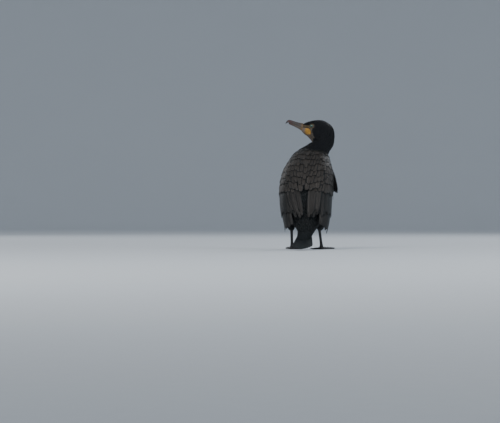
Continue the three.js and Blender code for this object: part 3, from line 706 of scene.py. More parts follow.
def lay_on_skin(coat, picked, length, half, lift, form, chance, skew=0.16):
    """Lays one vane on the skin at each picked place, following the lie of the coat."""
    rows, outline = form
    blade, count = SMALL_BLADE, len(picked)
    roots, normals = Skin.points[picked], Skin.normals[picked]
    way = lie_of_coat(roots) + skew * chance.standard_normal((count, 3))
    way = unit(way - normals * (way * normals).sum(axis=1, keepdims=True))
    side = np.cross(normals, way)
    size = chance.uniform(0.82, 1.15, count)
    length, half = length * size, half * size
    q = rows[None, :, None, None]
    middle = roots[:, None, None, :] + way[:, None, None, :] * length[:, None, None, None] * q
    wide = (half[:, None] * outline[None])[:, :, None] * blade[None, None, :]
    found, facing = Skin.nearest(middle + side[:, None, None, :] * wide[..., None])
    facing = unit(0.6 * facing + 0.4 * normals[:, None, None, :])
    lift = lift * chance.uniform(0.7, 1.25, count)
    height = mix(-0.3, lift[:, None, None], rows[None, :, None] ** 0.75)
    height = height + 0.22 * half[:, None, None] * 0.5 * (1 - blade**2)
    top = found + facing * height[..., None]
    coat.add(top, top[:, :, 1] - facing[:, :, 1] * 0.35, blade, rows, chance.random(count))


def head_places(points):
    """Points as distances ahead, aside and up on the head."""
    offset = points - HEAD_AT
    return offset @ AHEAD, offset @ INTO, offset @ CROWN


def bare_face(points):
    """1 on the bare skin before and round the eyes and at the gape, 0 elsewhere."""
    ahead, aside, up = head_places(points)
    stripe = mix(7.5, 2.0, np.clip((ahead - 8) / 26, 0, 1))
    before_eye = ramp(7, 12, ahead) * ramp(10.5, 7.5, np.abs(up - stripe) * 1.4 + 2)
    round_eye = ramp(10.2, 8.4, np.hypot(ahead - EYE["ahead"], up - EYE["up"])) * (np.abs(aside) > 8)
    return np.maximum(before_eye, round_eye)


def on_throat(points):
    """How far a point lies inside the bare throat, in millimetres."""
    ahead, _, up = head_places(points)
    inside = np.interp(ahead, THROAT_EDGE[:, 0], THROAT_EDGE[:, 1]) - up
    lowest = -46 - np.maximum(ahead + 3, 0)
    return np.where((ahead > THROAT_EDGE[0, 0]) & (up > lowest), inside, OFF_THROAT)


def colour_choice(name, text, value):
    return bpy.props.FloatVectorProperty(
        name=name, description=text, subtype="COLOR", size=3, min=0, max=1, default=value
    )


def length_choice(name, text, value):
    return bpy.props.FloatProperty(
        name=name, description=text, subtype="DISTANCE", unit="LENGTH", min=0, default=value
    )


class CormorantPlumage(bpy.types.PropertyGroup):
    """Sizes and colours of the feathers."""

    coat_depth: length_choice("Coat depth", "How far the skin lies inside the bird's outline", 0.0022)
    body_feather: length_choice("Body feather", "Length of a feather of the breast and back", 0.0185)
    body_spacing: length_choice("Body spacing", "Distance between roots on the breast and back", 0.0052)
    neck_feather: length_choice("Neck feather", "Length of a feather of the neck", 0.0115)
    neck_spacing: length_choice("Neck spacing", "Distance between roots on the neck", 0.0034)
    face_feather: length_choice("Face feather", "Length of a feather of the face", 0.0056)
    face_spacing: length_choice("Face spacing", "Distance between roots on the face", 0.002)
    seed: bpy.props.IntProperty(name="Seed", description="Start of the even scatter", default=7)
    black: colour_choice("Black", "Ground colour of the glossy feathers", (0.0072, 0.0082, 0.0095))
    # The two gloss colours are painted into the feathers' colour as a sheen at the edges turned from the
    # view.
    sea_gloss: colour_choice("Body gloss", "Green-blue gloss of back and breast", (0.012, 0.03, 0.033))
    violet_gloss: colour_choice("Head gloss", "Blue-violet gloss of head and neck", (0.013, 0.017, 0.034))
    bronze: colour_choice("Bronze", "Middle of the wing and shoulder feathers", (0.036, 0.03, 0.026))
    flight: colour_choice("Flight feather", "Middle of the flight feathers", (0.016, 0.015, 0.0148))
    throat_edge: colour_choice("Throat edge", "Pale feathers behind the bare throat", (0.15, 0.13, 0.105))


class CormorantBareParts(bpy.types.PropertyGroup):
    """Colours of bill, throat, eyes, legs and claws."""

    throat: colour_choice("Throat", "Bare skin of the throat", (0.42, 0.21, 0.02))
    horn: colour_choice("Horn", "Side of the upper bill", (0.052, 0.044, 0.041))
    lower_horn: colour_choice("Lower horn", "Side of the lower bill", (0.11, 0.088, 0.07))
    culmen: colour_choice("Culmen", "Ridge and hook of the bill", (0.014, 0.012, 0.012))
    flush: colour_choice("Flush", "Reddish horn behind the hook", (0.058, 0.023, 0.023))
    iris: colour_choice("Iris", "Green of the eye", (0.005, 0.09, 0.058))
    leg: colour_choice("Leg", "Scaled skin of legs and feet", (0.011, 0.011, 0.012))
    web_thickness: length_choice("Web thickness", "Thickness of the skin between the toes", 0.0016)


class CormorantStage(bpy.types.PropertyGroup):
    """Floor, light and camera."""

    distance: length_choice("Camera distance", "From the camera to the bird", 7.5)
    frame_width: length_choice("Frame width", "Width of what the camera sees at the bird", 1.8)
    look_across: length_choice("Look across", "How far left of the bird the camera looks", 0.2016)
    camera_height: length_choice("Camera height", "Height of the camera over the floor", 0.135)
    floor: colour_choice("Floor", "Pale floor and backdrop", (0.56, 0.6, 0.64))
    key_power: bpy.props.FloatProperty(
        name="Key light", description="Power that all the soft lights are set from", default=170.0, min=0
    )


class BuildSkin(bpy.types.Operator):
    """Builds the one skin of trunk, neck, head and thighs, inside the solids by the coat's depth"""

    bl_idname = "cormorant.skin"
    bl_label = "Skin"

    def execute(self, context):
        plumage = context.scene.cormorant_plumage
        depth = plumage.coat_depth / MM
        degrees = np.linspace(0, 360, 56, endpoint=False)
        degrees = np.where(degrees > 180, degrees - 360, degrees)
        trunk = trunk_point(np.linspace(-0.1, 1.06, 60)[:, None], degrees[None], 0.0, -depth)
        _, up, across, deep, wide, thick = columns_at(NECK, np.linspace(0, 1, 40))
        middle, inset = in_view(across, up, deep), 0.8 * depth
        neck = ellipse(middle, ACROSS, INTO, wide - inset, thick - inset, 44)
        station = np.linspace(-38, 62, 50)
        _, top, low, wide = columns_at(HEAD, station)
        middle, inset = on_head(-station, 0 * station, (top + low) / 2), 0.5 * depth
        head = ellipse(middle, INTO, CROWN, wide - inset, (top - low) / 2 - inset, 44, HEAD_FULLNESS)
        thighs = [self.thigh(side, depth) for _, side in SIDES]
        mesh = self.joined(context, tube_mesh("skin_rough", [trunk, neck, head, *thighs]))
        places = bird_places(mesh)
        paint_uv(mesh, "OFBake", unwrapped(places))
        paint_value(mesh, "bare", bare_face(places))
        Skin.measure(mesh, SKIN_PLACES, np.random.default_rng(plumage.seed))
        nodes = ("torso", "neck", "head", "thigh_left", "thigh_right")
        show(mesh, self.finish(plumage), "body_plumage", *nodes)
        return {"FINISHED"}

    def thigh(self, side, depth):
        here = reading(THIGH, np.linspace(0, 4, 24))[:, 1:]
        here[:, 0] *= side
        run = unit(np.gradient(here[:, :3], axis=0))
        right = unit(RIGHT - run * run[:, :1])
        return ellipse(here[:, :3], right, np.cross(right, run), here[:, 3] - depth, here[:, 4] - depth, 28)

    def joined(self, context, rough):
        """The rough tubes remeshed into one closed skin and evened out."""
        holder = bpy.data.objects.new("skin_rough", rough)
        context.scene.collection.objects.link(holder)
        close = holder.modifiers.new("close", "REMESH")
        close.mode = "VOXEL"
        close.voxel_size = SKIN_VOXEL
        even = holder.modifiers.new("even", "SMOOTH")
        even.factor = 0.6
        even.iterations = 9
        context.view_layer.update()
        graph = context.evaluated_depsgraph_get()
        mesh = bpy.data.meshes.new_from_object(holder.evaluated_get(graph))
        bpy.data.objects.remove(holder)
        mesh.name = "skin"
        mesh.polygons.foreach_set("use_smooth", np.full(len(mesh.polygons), True))
        return mesh

    def finish(self, plumage):
        bench = Bench("Skin under the feathers", 0.4)
        down = bench.blend(bench.noise(300.0), shade(plumage.black), shade(plumage.black, 2))
        worn = bench.blend(bench.noise(420.0), (0.022, 0.017, 0.009), (0.085, 0.052, 0.016))
        bench.colour(bench.blend(bench.spread(bench.value("bare"), 0.15, 0.45), down, worn))
        bench.roughness(bench.noise(90.0), 0.55, 0.8)
        bench.bump(bench.noise(1500.0, 4.0), 0.5, 0.0004)
        return bench.material


class BuildBodyCoat(bpy.types.Operator):
    """Lays the feathers of breast, back, rump and thighs"""

    bl_idname = "cormorant.body_coat"
    bl_label = "Body feathers"

    def execute(self, context):
        plumage = context.scene.cormorant_plumage
        chance = np.random.default_rng(plumage.seed + 1)
        place, height = along_spine(Skin.points)[0], Skin.points[:, 2]
        trunk = (place < TRUNK_ENDS["place"]) & (height < TRUNK_ENDS["height"])
        chosen = np.flatnonzero(trunk & self.seen_past_wings())
        chosen = chosen[spread_over(Skin.points[chosen], plumage.body_spacing / MM, chance)]
        fine = np.maximum(ramp(290, 350, height[chosen]), ramp(100, 70, height[chosen]))
        length = plumage.body_feather / MM * mix(1.0, 0.7, fine)
        black, gloss = shade(plumage.black), shade(plumage.sea_gloss)
        finish = feather_finish("Body feather", black, shade(black, 0.6), 0.74, gloss, 0.8, 0.45, 30, 4)
        forward = Skin.normals[chosen][:, 1] > 0
        for name, some in (("breast_feathers", forward), ("back_feathers", ~forward)):
            coat = Coat()
            lay_on_skin(coat, chosen[some], length[some], length[some] * 0.19, 1.9, BODY, chance)
            coat.show(name, finish, "body_plumage")
        return {"FINISHED"}

    def seen_past_wings(self):
        """True where no wing lies close over the skin."""
        shown = np.ones(len(Skin.points), bool)
        for name, _ in SIDES:
            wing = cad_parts["wing_" + name].data
            wing.calc_loop_triangles()
            places = bird_places(wing)
            corners = kept_by(wing.loop_triangles, "vertices", 3, np.int32)
            tree = BVHTree.FromPolygons(places.tolist(), corners.tolist())
            low, high = places.min(axis=0) - 12, places.max(axis=0) + 12
            near = np.flatnonzero(((Skin.points > low) & (Skin.points < high)).all(axis=1))
            for i in near.tolist():
                hit = tree.ray_cast(Vector(Skin.points[i]), Vector(Skin.normals[i]), WING_OVER)
                if hit[0] is not None:
                    shown[i] = False
        return shown


class BuildHeadCoat(bpy.types.Operator):
    """Lays the short feathers of neck and head, with the pale edge behind the bare throat"""

    bl_idname = "cormorant.head_coat"
    bl_label = "Neck and head feathers"

    def execute(self, context):
        plumage = context.scene.cormorant_plumage
        chance = np.random.default_rng(plumage.seed + 2)
        ahead, place, height = head_places(Skin.points)[0], along_spine(Skin.points)[0], Skin.points[:, 2]
        clear = (bare_face(Skin.points) < 0.6) & (on_throat(Skin.points) < 1.5) & (ahead < BILL_ROOT)
        top = clear & (place >= NECK_STARTS["place"]) & (height > NECK_STARTS["height"])
        face = top & (ahead > FACE_STARTS["ahead"]) & (height > FACE_STARTS["height"])
        black, gloss = shade(plumage.black), shade(plumage.violet_gloss)
        chosen = np.flatnonzero(top & ~face)
        chosen = chosen[spread_over(Skin.points[chosen], plumage.neck_spacing / MM, chance)]
        low = ramp(375, 335, height[chosen])
        length = plumage.neck_feather / MM * mix(1.0, 1.55, low)
        coat = Coat()
        lay_on_skin(coat, chosen, length, mix(1.9, 3.0, low), 2.3, TUFT, chance, 0.14)
        finish = feather_finish("Neck feather", black, shade(black, 0.7), 0.8, gloss, 0.75, 0.45, 22)
        coat.show("neck_feathers", finish, "neck_plumage")
        chosen = np.flatnonzero(face)
        chosen = chosen[spread_over(Skin.points[chosen], plumage.face_spacing / MM, chance)]
        near_throat = on_throat(Skin.points[chosen]) > -9.5 - 2.5 * chance.random(len(chosen))
        pale = near_throat & (ahead[chosen] < 17)
        for name, title, some, centre, share in (
            ("face_feathers", "Face feathers", ~pale, black, 0.75),
            ("throat_edge_feathers", "Throat edge feathers", pale, shade(plumage.throat_edge), 0.1),
        ):
            coat = Coat()
            roots = chosen[some]
            length = plumage.face_feather / MM * mix(1.0, 1.35, ramp(6, -12, ahead[roots]))
            lay_on_skin(coat, roots, length, 1.05, 1.3, TUFT, chance, 0.12)
            finish = feather_finish(title, centre, shade(centre, 0.7), 0.8, gloss, share, 0.48, 14)
            coat.show(name, finish, "neck_plumage")
        return {"FINISHED"}


class BuildWings(bpy.types.Operator):
    """Lays both folded wings: flight feathers, coverts, shoulder feathers and the wrist's"""

    bl_idname = "cormorant.wings"
    bl_label = "Wings"

    def execute(self, context):
        plumage = context.scene.cormorant_plumage
        black, gloss, violet = shade(plumage.black), shade(plumage.sea_gloss), shade(plumage.violet_gloss)
        flight, bronze = shade(plumage.flight), shade(plumage.bronze)
        dusky = tuple(mix(np.array(flight), np.array(bronze), 0.35))
        looks = {
            "primary": ("Primary feather", flight, black, 0.7, gloss, 0.35, 0.42, 130, 14),
            "secondary": ("Secondary feather", flight, black, 0.66, gloss, 0.45, 0.4, 130, 14),
            "tertial": ("Innermost flight feather", dusky, black, 0.68, gloss, 0.5, 0.38, 130, 14),
            "covert": ("Wing covert", bronze, black, 0.64, gloss, 0.4, 0.4, 70, 6),
            "lesser": ("Small wing covert", dusky, black, 0.62, gloss, 0.5, 0.4, 50, 5),
            "scapular": ("Shoulder feather", bronze, black, 0.64, gloss, 0.45, 0.38, 70, 6),
            "wrist": ("Wrist feather", dusky, black, 0.7, violet, 0.5, 0.42, 60, 8),
        }
        finishes = {kind: feather_finish(*look) for kind, look in looks.items()}
        for name, side in SIDES:
            chance = np.random.default_rng(plumage.seed + 10 + side)
            coats = {kind: Coat() for kind in finishes}
            self.tiers(coats, side, chance)
            if side > 0:
                self.mid_back(coats["scapular"], side, chance)
            self.wrist(coats["wrist"], side, WRIST_LAYERS[name], chance)
            for kind, coat in coats.items():
                nodes = ["wing_" + name] if kind == "covert" else []
                coat.show(f"wing_{name}_{kind}", finishes[kind], "wing_plumage", *nodes)
            self.core(side, name, black)
        return {"FINISHED"}

    def tiers(self, coats, side, chance):
        """The rows of vanes from the flight feathers up to the shoulder."""
        for row, (kind, count, roots, tips, half, sink, lift, flight) in enumerate(WING_TIERS):
            stagger = 0.5 * (row % 2)
            form, tip_shake = (FLIGHT, FLIGHT_SHAKE) if flight else (COVERT, COVERT_SHAKE)
            root = tier_places(count, roots, ROOT_SHAKE, chance, stagger)
            tip = tier_places(count, tips, tip_shake, chance, stagger)
            lift = lift + 0.5 * chance.uniform(-1, 1, count) + 0.5 * (side > 0) * (kind == "scapular")
            wing_vanes(coats[kind], side, root, tip, half, sink, lift, 0.55, form, chance)

    def mid_back(self, coat, side, chance):
        """One column of vanes that hides where the two wings meet."""
        count = len(MID_BACK)
        root = np.stack([MID_BACK, chance.uniform(-1.5, 1.5, count)], axis=1)
        tip = np.stack([MID_BACK - 0.19 + 0.06 * (MID_BACK > 0.9), chance.uniform(-2, 2, count)], axis=1)
        wing_vanes(coat, side, root, tip, 9.0, 1.0, 4.6, 0.2, COVERT, chance)

    def wrist(self, coat, side, layers, chance):
        """The wrist's feathers, in layers that stand off more and more."""
        count = WRIST["vanes"]
        for proud in layers:
            root = tier_places(count, WRIST["roots"], ROOT_SHAKE, chance)
            tip = tier_places(count, WRIST["tips"], 2 * ROOT_SHAKE, chance)
            lift = proud + 0.6 * chance.uniform(-1, 1, count)
            wing_vanes(coat, side, root, tip, WRIST["half"], 3.0, lift, 0.6, COVERT, chance, 1.5)

    def core(self, side, name, black):
        """The folded arm under the vanes, so that no gap shows between their roots."""
        station, degrees = np.meshgrid(np.linspace(0.45, 0.95, 26), np.linspace(20, 104, 26), indexing="ij")
        top = raised(station, side * degrees, 1, np.full(station.shape, -2.0))
        under = raised(station, side * degrees, 0, np.full(station.shape, -3.5))
        bench = Bench("Down under the wing " + name, 0.35)
        bench.colour(bench.blend(bench.noise(260.0), black, shade(black, 1.8)))
        bench.roughness(bench.noise(150.0), 0.6, 0.8)
        bench.bump(bench.noise(900.0), 0.4, 0.0004)
        rings = np.concatenate([top, under[:, ::-1]], axis=1)
        show(tube_mesh("wing_core_" + name, [rings]), bench.material, "wing_plumage")


class BuildTail(bpy.types.Operator):
    """Lays the stiff tail feathers on the floor behind, and the coverts over and under their roots"""

    bl_idname = "cormorant.tail"
    bl_label = "Tail"

    def execute(self, context):
        plumage = context.scene.cormorant_plumage
        chance = np.random.default_rng(plumage.seed + 5)
        black, gloss = shade(plumage.black), shade(plumage.sea_gloss)
        count = TAIL["feathers"]
        u = (2 * np.arange(count) + 1 - count) / (count - 1)
        over = np.where(np.arange(count) == count // 2, 1.3, 0.0)
        reach = np.stack([np.full(count, 4.0), TAIL["length"] * (1 - 0.27 * np.abs(u) ** 1.6)], axis=1)
        across = np.stack([u * 15, u * (TAIL["spread"] / 2 - 6)], axis=1)
        height = np.stack([over, 2 + over], axis=1)
        coat = Coat()
        tail_vanes(coat, reach, across, 6.6, height, 1.1 * np.sign(u), FLIGHT, chance)
        finish = feather_finish("Tail feather", shade(black, 1.6), black, 0.8, gloss, 0.55, 0.38, 150)
        coat.show("tail_feathers", finish, "tail_plumage", "tail")
        coat = Coat()
        u = np.linspace(-1, 1, 7)
        across = np.stack([u * 14, u * 22], axis=1)
        for high, low, start, end in TAIL_COVERTS:
            reach = np.stack([np.full(7, float(start)), end * (1 - 0.14 * u * u)], axis=1)
            height = np.stack([high - 3 * u * u * np.sign(high), np.full(7, low)], axis=1)
            tail_vanes(coat, reach, across, 6.0, height, 0.8 * np.sign(u), COVERT, chance)
        finish = feather_finish("Tail covert", black, shade(black, 0.6), 0.75, gloss, 0.7, 0.4, 60)
        coat.show("tail_coverts", finish, "tail_plumage")
        return {"FINISHED"}


class BuildBill(bpy.types.Operator):
    """Builds the grooved, hooked upper half of the bill and the lower half"""

    bl_idname = "cormorant.bill"
    bl_label = "Bill"

    def execute(self, context):
        bare = context.scene.cormorant_bare_parts
        for name, title, table, upper, slot in (
            ("bill_upper", "Bill upper", BILL + HOOK, True, "bill_horn"),
            ("bill_lower", "Bill lower", BILL, False, "bill_pale"),
        ):
            mesh = tube_mesh(name, [self.half_bill(table, upper)])
            show(mesh, self.finish(title, bare, upper), slot, name)
        return {"FINISHED"}

    def half_bill(self, table, upper, rows=72, sides=40):
        """Sections of one half, flat on the mouth line, with the upper half's long groove and nail."""
        station = np.linspace(table[0][0], table[-1][0], rows)
        _, top, mouth, under, wide = columns_at(table, station)
        turn = np.linspace(0, np.pi, sides)
        high = np.sin(turn) ** 0.8
        flat = (mouth + (0.15 if upper else -0.15))[:, None]
        far = (top if upper else under)[:, None]
        narrow = 1 - 0.12 * high
        if upper:
            fading = (ramp(36, 42, station) * ramp(93, 86, station))[:, None]
            groove = np.exp(-(((high - 0.66) / 0.09) ** 2)) * (np.abs(np.cos(turn)) > 0.05)
            nail = (ramp(87, 90, station) * ramp(96, 92, station))[:, None]
            narrow = narrow[None] - 0.16 * fading * groove[None] + 0.05 * nail
        out = wide[:, None] * np.cos(turn)[None] * narrow
        return on_head(np.broadcast_to(station[:, None], out.shape), out, mix(flat, far, high[None]))

    def finish(self, title, bare, upper):
        bench = Bench(title, 0.35)
        around, along = bench.uv("lay")
        grain = bench.noise(700.0, 4.0)
        streak = bench.maths("SINE", bench.times(along, 160.0))
        off_ridge = bench.maths("ABSOLUTE", bench.maths("SUBTRACT", around, 0.49))
        ridge = bench.spread(off_ridge, 0.06, 0.22, 1.0, 0.0)
        tip = bench.spread(along, 0.86 if upper else 0.9, 0.95 if upper else 1.0, 0.0, 0.9)
        horn = bare.horn if upper else bare.lower_horn
        side = bench.blend(grain, shade(horn, 0.7), shade(horn, 1.25))
        reddish = bench.spread(along, 0.5, 0.8, 0.0, 0.85 if upper else 0.5)
        flush = bench.blend(reddish, side, shade(bare.flush))
        root = bench.spread(along, 0.22, 0.0, 0.0, 0.3 if upper else 0.6)
        warm = bench.blend(root, flush, shade(bare.throat, 0.6))
        dark = bench.maths("MAXIMUM", bench.times(ridge, 0.9 if upper else 0.2), tip)
        bench.colour(bench.blend(dark, warm, shade(bare.culmen)))
        bench.roughness(grain, 0.42, 0.58)
        bench.bump(bench.scaled(streak, 0.15, grain), 0.35, 0.0003)
        return bench.material


class BuildThroat(bpy.types.Operator):
    """Builds the bare, wrinkled skin of the gape and throat"""

    bl_idname = "cormorant.throat"
    bl_label = "Bare throat"

    def execute(self, context):
        station = np.linspace(-37.6, 13.5, 110)
        _, top, low, wide = columns_at(HEAD, station)
        turn = turns(200)
        middle = (top + low) / 2
        out = wide[:, None] * rounded(np.sin(turn), HEAD_FULLNESS)[None]
        rise = ((top - low) / 2)[:, None] * rounded(np.cos(turn), HEAD_FULLNESS)[None] + middle[:, None]
        surface = on_head(np.broadcast_to(-station[:, None], out.shape), out, rise)
        inside = on_throat(surface.reshape(-1, 3)).reshape(out.shape)
        outward = unit(surface - on_head(-station, 0 * station, middle)[:, None])
        height = self.folds(-station[:, None], turn[None], inside) - 0.6 * ramp(3, -1, inside)
        sheets = [surface + outward * height[..., None], surface - outward * 1.8]
        points = np.concatenate([sheet.reshape(-1, 3) for sheet in sheets])
        used, compact = np.unique(self.faces(inside > -0.5), return_inverse=True)
        points = points[used]
        mesh = blend_mesh("throat_skin", points, compact.reshape(-1, 4))
        paint_uv(mesh, "OFBake", unwrapped(points))
        ahead, _, up = head_places(points)
        paint_value(mesh, "warm", np.exp(-(((ahead - 15) / 14) ** 2) - (((up + 10) / 13) ** 2)))
        paint_value(mesh, "rosy", ramp(22, 34, ahead))
        show(mesh, self.finish(context.scene.cormorant_bare_parts), "gape_skin", "throat_pouch")
        return {"FINISHED"}

    def folds(self, ahead, turn, inside):
        """Fine lengthwise wrinkles that run from the bill's root to the throat."""
        wander = 0.9 * np.sin(0.21 * ahead + 2.3 * np.cos(turn * 3))
        fine = np.sin(turn * 46 + wander + 0.05 * ahead)
        wide = np.sin(turn * 17 - 0.6 * wander)
        return (0.3 * fine + 0.32 * wide) * ramp(0, 5, inside) + 0.45

    def faces(self, keep):
        """Quads of the outer sheet where all corners are kept, of the inner one, and of the edge."""
        size = keep.size
        grid = np.arange(size).reshape(keep.shape)
        after, kept_after = np.roll(grid, -1, axis=1), np.roll(keep, -1, axis=1)
        whole = keep[:-1] & keep[1:] & kept_after[:-1] & kept_after[1:]
        a, b, c, d = grid[:-1][whole], after[:-1][whole], after[1:][whole], grid[1:][whole]
        outer = np.stack([a, b, c, d], axis=1)
        edges = np.concatenate([outer[:, [k, (k + 1) % 4]] for k in range(4)])
        _, first, count = np.unique(np.sort(edges, axis=1), axis=0, return_index=True, return_counts=True)
        start, end = edges[first[count == 1]].T
        rim = np.stack([end, start, start + size, end + size], axis=1)
        return np.concatenate([outer, outer[:, ::-1] + size, rim])

    def finish(self, bare):
        bench = Bench("Bare throat skin", 0.45, {"Subsurface Weight": 0.08, "Subsurface Scale": 0.002})
        bench.shader.inputs["Subsurface Radius"].default_value = (1.0, 0.35, 0.1)
        pores = bench.noise(1300.0, 4.0)
        cloud = bench.noise(110.0, 3.0)
        dusky = bench.blend(cloud, (0.045, 0.03, 0.021), (0.1, 0.068, 0.046))
        core = bench.blend(bench.spread(cloud, 0.35, 0.65), shade(bare.throat, 0.75), shade(bare.throat))
        warm = bench.scaled(bench.noise(170.0), 0.3, bench.maths("SUBTRACT", bench.value("warm"), 0.15))
        skin = bench.blend(bench.spread(warm, 0.12, 0.62), dusky, core)
        rosy = bench.blend(cloud, (0.12, 0.09, 0.07), (0.2, 0.16, 0.13))
        bench.colour(bench.blend(bench.times(bench.value("rosy"), 0.85), skin, rosy))
        bench.roughness(pores, 0.42, 0.62)
        bench.bump(pores, 0.5, 0.0003)
        return bench.material


class BuildEyes(bpy.types.Operator):
    """Builds both green eyes and their beaded lids"""

    bl_idname = "cormorant.eyes"
    bl_label = "Eyes"

    def execute(self, context):
        eye_finish, lid_finish = self.eye_finish(context.scene.cormorant_bare_parts), self.lid_finish()
        for name, side in SIDES:
            middle = on_head(EYE["ahead"], side * EYE["aside"], EYE["up"])
            show(self.ball(name, side, middle), eye_finish, "eye", "eye_" + name)
            show(self.lids(name, side, middle), lid_finish, "neck_plumage")
        return {"FINISHED"}

    def ball(self, name, side, middle):
        polar = np.linspace(0.02, np.pi - 0.02, 48)
        turn = turns(64)
        swell = EYE["radius"] * (1 + 0.035 * np.exp(-((polar / 0.5) ** 2)))
        ring = np.cos(turn)[None, :, None] * AHEAD + np.sin(turn)[None, :, None] * CROWN
        out = (swell * np.cos(polar))[:, None, None] * (side * INTO)
        return tube_mesh("eyeball_" + name, [middle + out + (swell * np.sin(polar))[:, None, None] * ring])

    def lids(self, name, side, middle):
        turn, tube = turns(120), turns(14)
        around = EYE["radius"] * (0.86 + 0.03 * np.cos(2 * turn))
        beads = 0.9 + 0.14 * np.abs(np.sin(turn * 17))
        ring = np.cos(turn)[:, None] * AHEAD + np.sin(turn)[:, None] * CROWN * 0.92
        core = middle + ring * around[:, None] + (side * (2.9 - np.cos(turn) * 0.35))[:, None] * INTO
        wide = (beads[:, None] * np.cos(tube)[None])[..., None] * ring[:, None, :]
        deep = (beads[:, None] * 1.2 * np.sin(tube)[None])[..., None] * (side * INTO)
        points = (core[:, None] + wide + deep).reshape(-1, 3)
        mesh = blend_mesh("eyelids_" + name, points, tube_sides(len(turn) + 1, len(tube)) % len(points))
        paint_uv(mesh, "OFBake", unwrapped(points))
        return mesh

    def eye_finish(self, bare):
        bench = Bench("Eye", 0.6, {"Coat Weight": 1.0, "Coat Roughness": 0.03, "Roughness": 0.12})
        around, polar = bench.uv("lay")
        rays = bench.maths("SINE", bench.times(around, 2 * math.pi * 58))
        fleck = bench.scaled(rays, 0.18, bench.noise(1900.0, 3.0), clamp=True)
        iris = bench.blend(fleck, shade(bare.iris, 0.45), shade(bare.iris, 1.5))
        rimmed = bench.blend(bench.spread(polar, 0.25, 0.3), iris, (0.006, 0.02, 0.018))
        bench.colour(bench.blend(bench.spread(polar, 0.118, 0.13, 1.0, 0.0), rimmed, (0.002, 0.002, 0.002)))
        return bench.material

    def lid_finish(self):
        bench = Bench("Eyelid skin", 0.5)
        speck = bench.noise(1100.0, 3.0)
        bench.colour(bench.blend(speck, (0.018, 0.03, 0.03), (0.06, 0.075, 0.055)))
        bench.roughness(speck, 0.4, 0.6)
        bench.bump(speck, 0.4, 0.0002)
        return bench.material


def heel_at(side):
    return np.array([side * HEEL[0], HEEL[1], 0.0])


def toe_end(side, length, outward):
    turn = math.radians(outward)
    return heel_at(side) + np.array([side * length * math.sin(turn), length * math.cos(turn), 0.0])


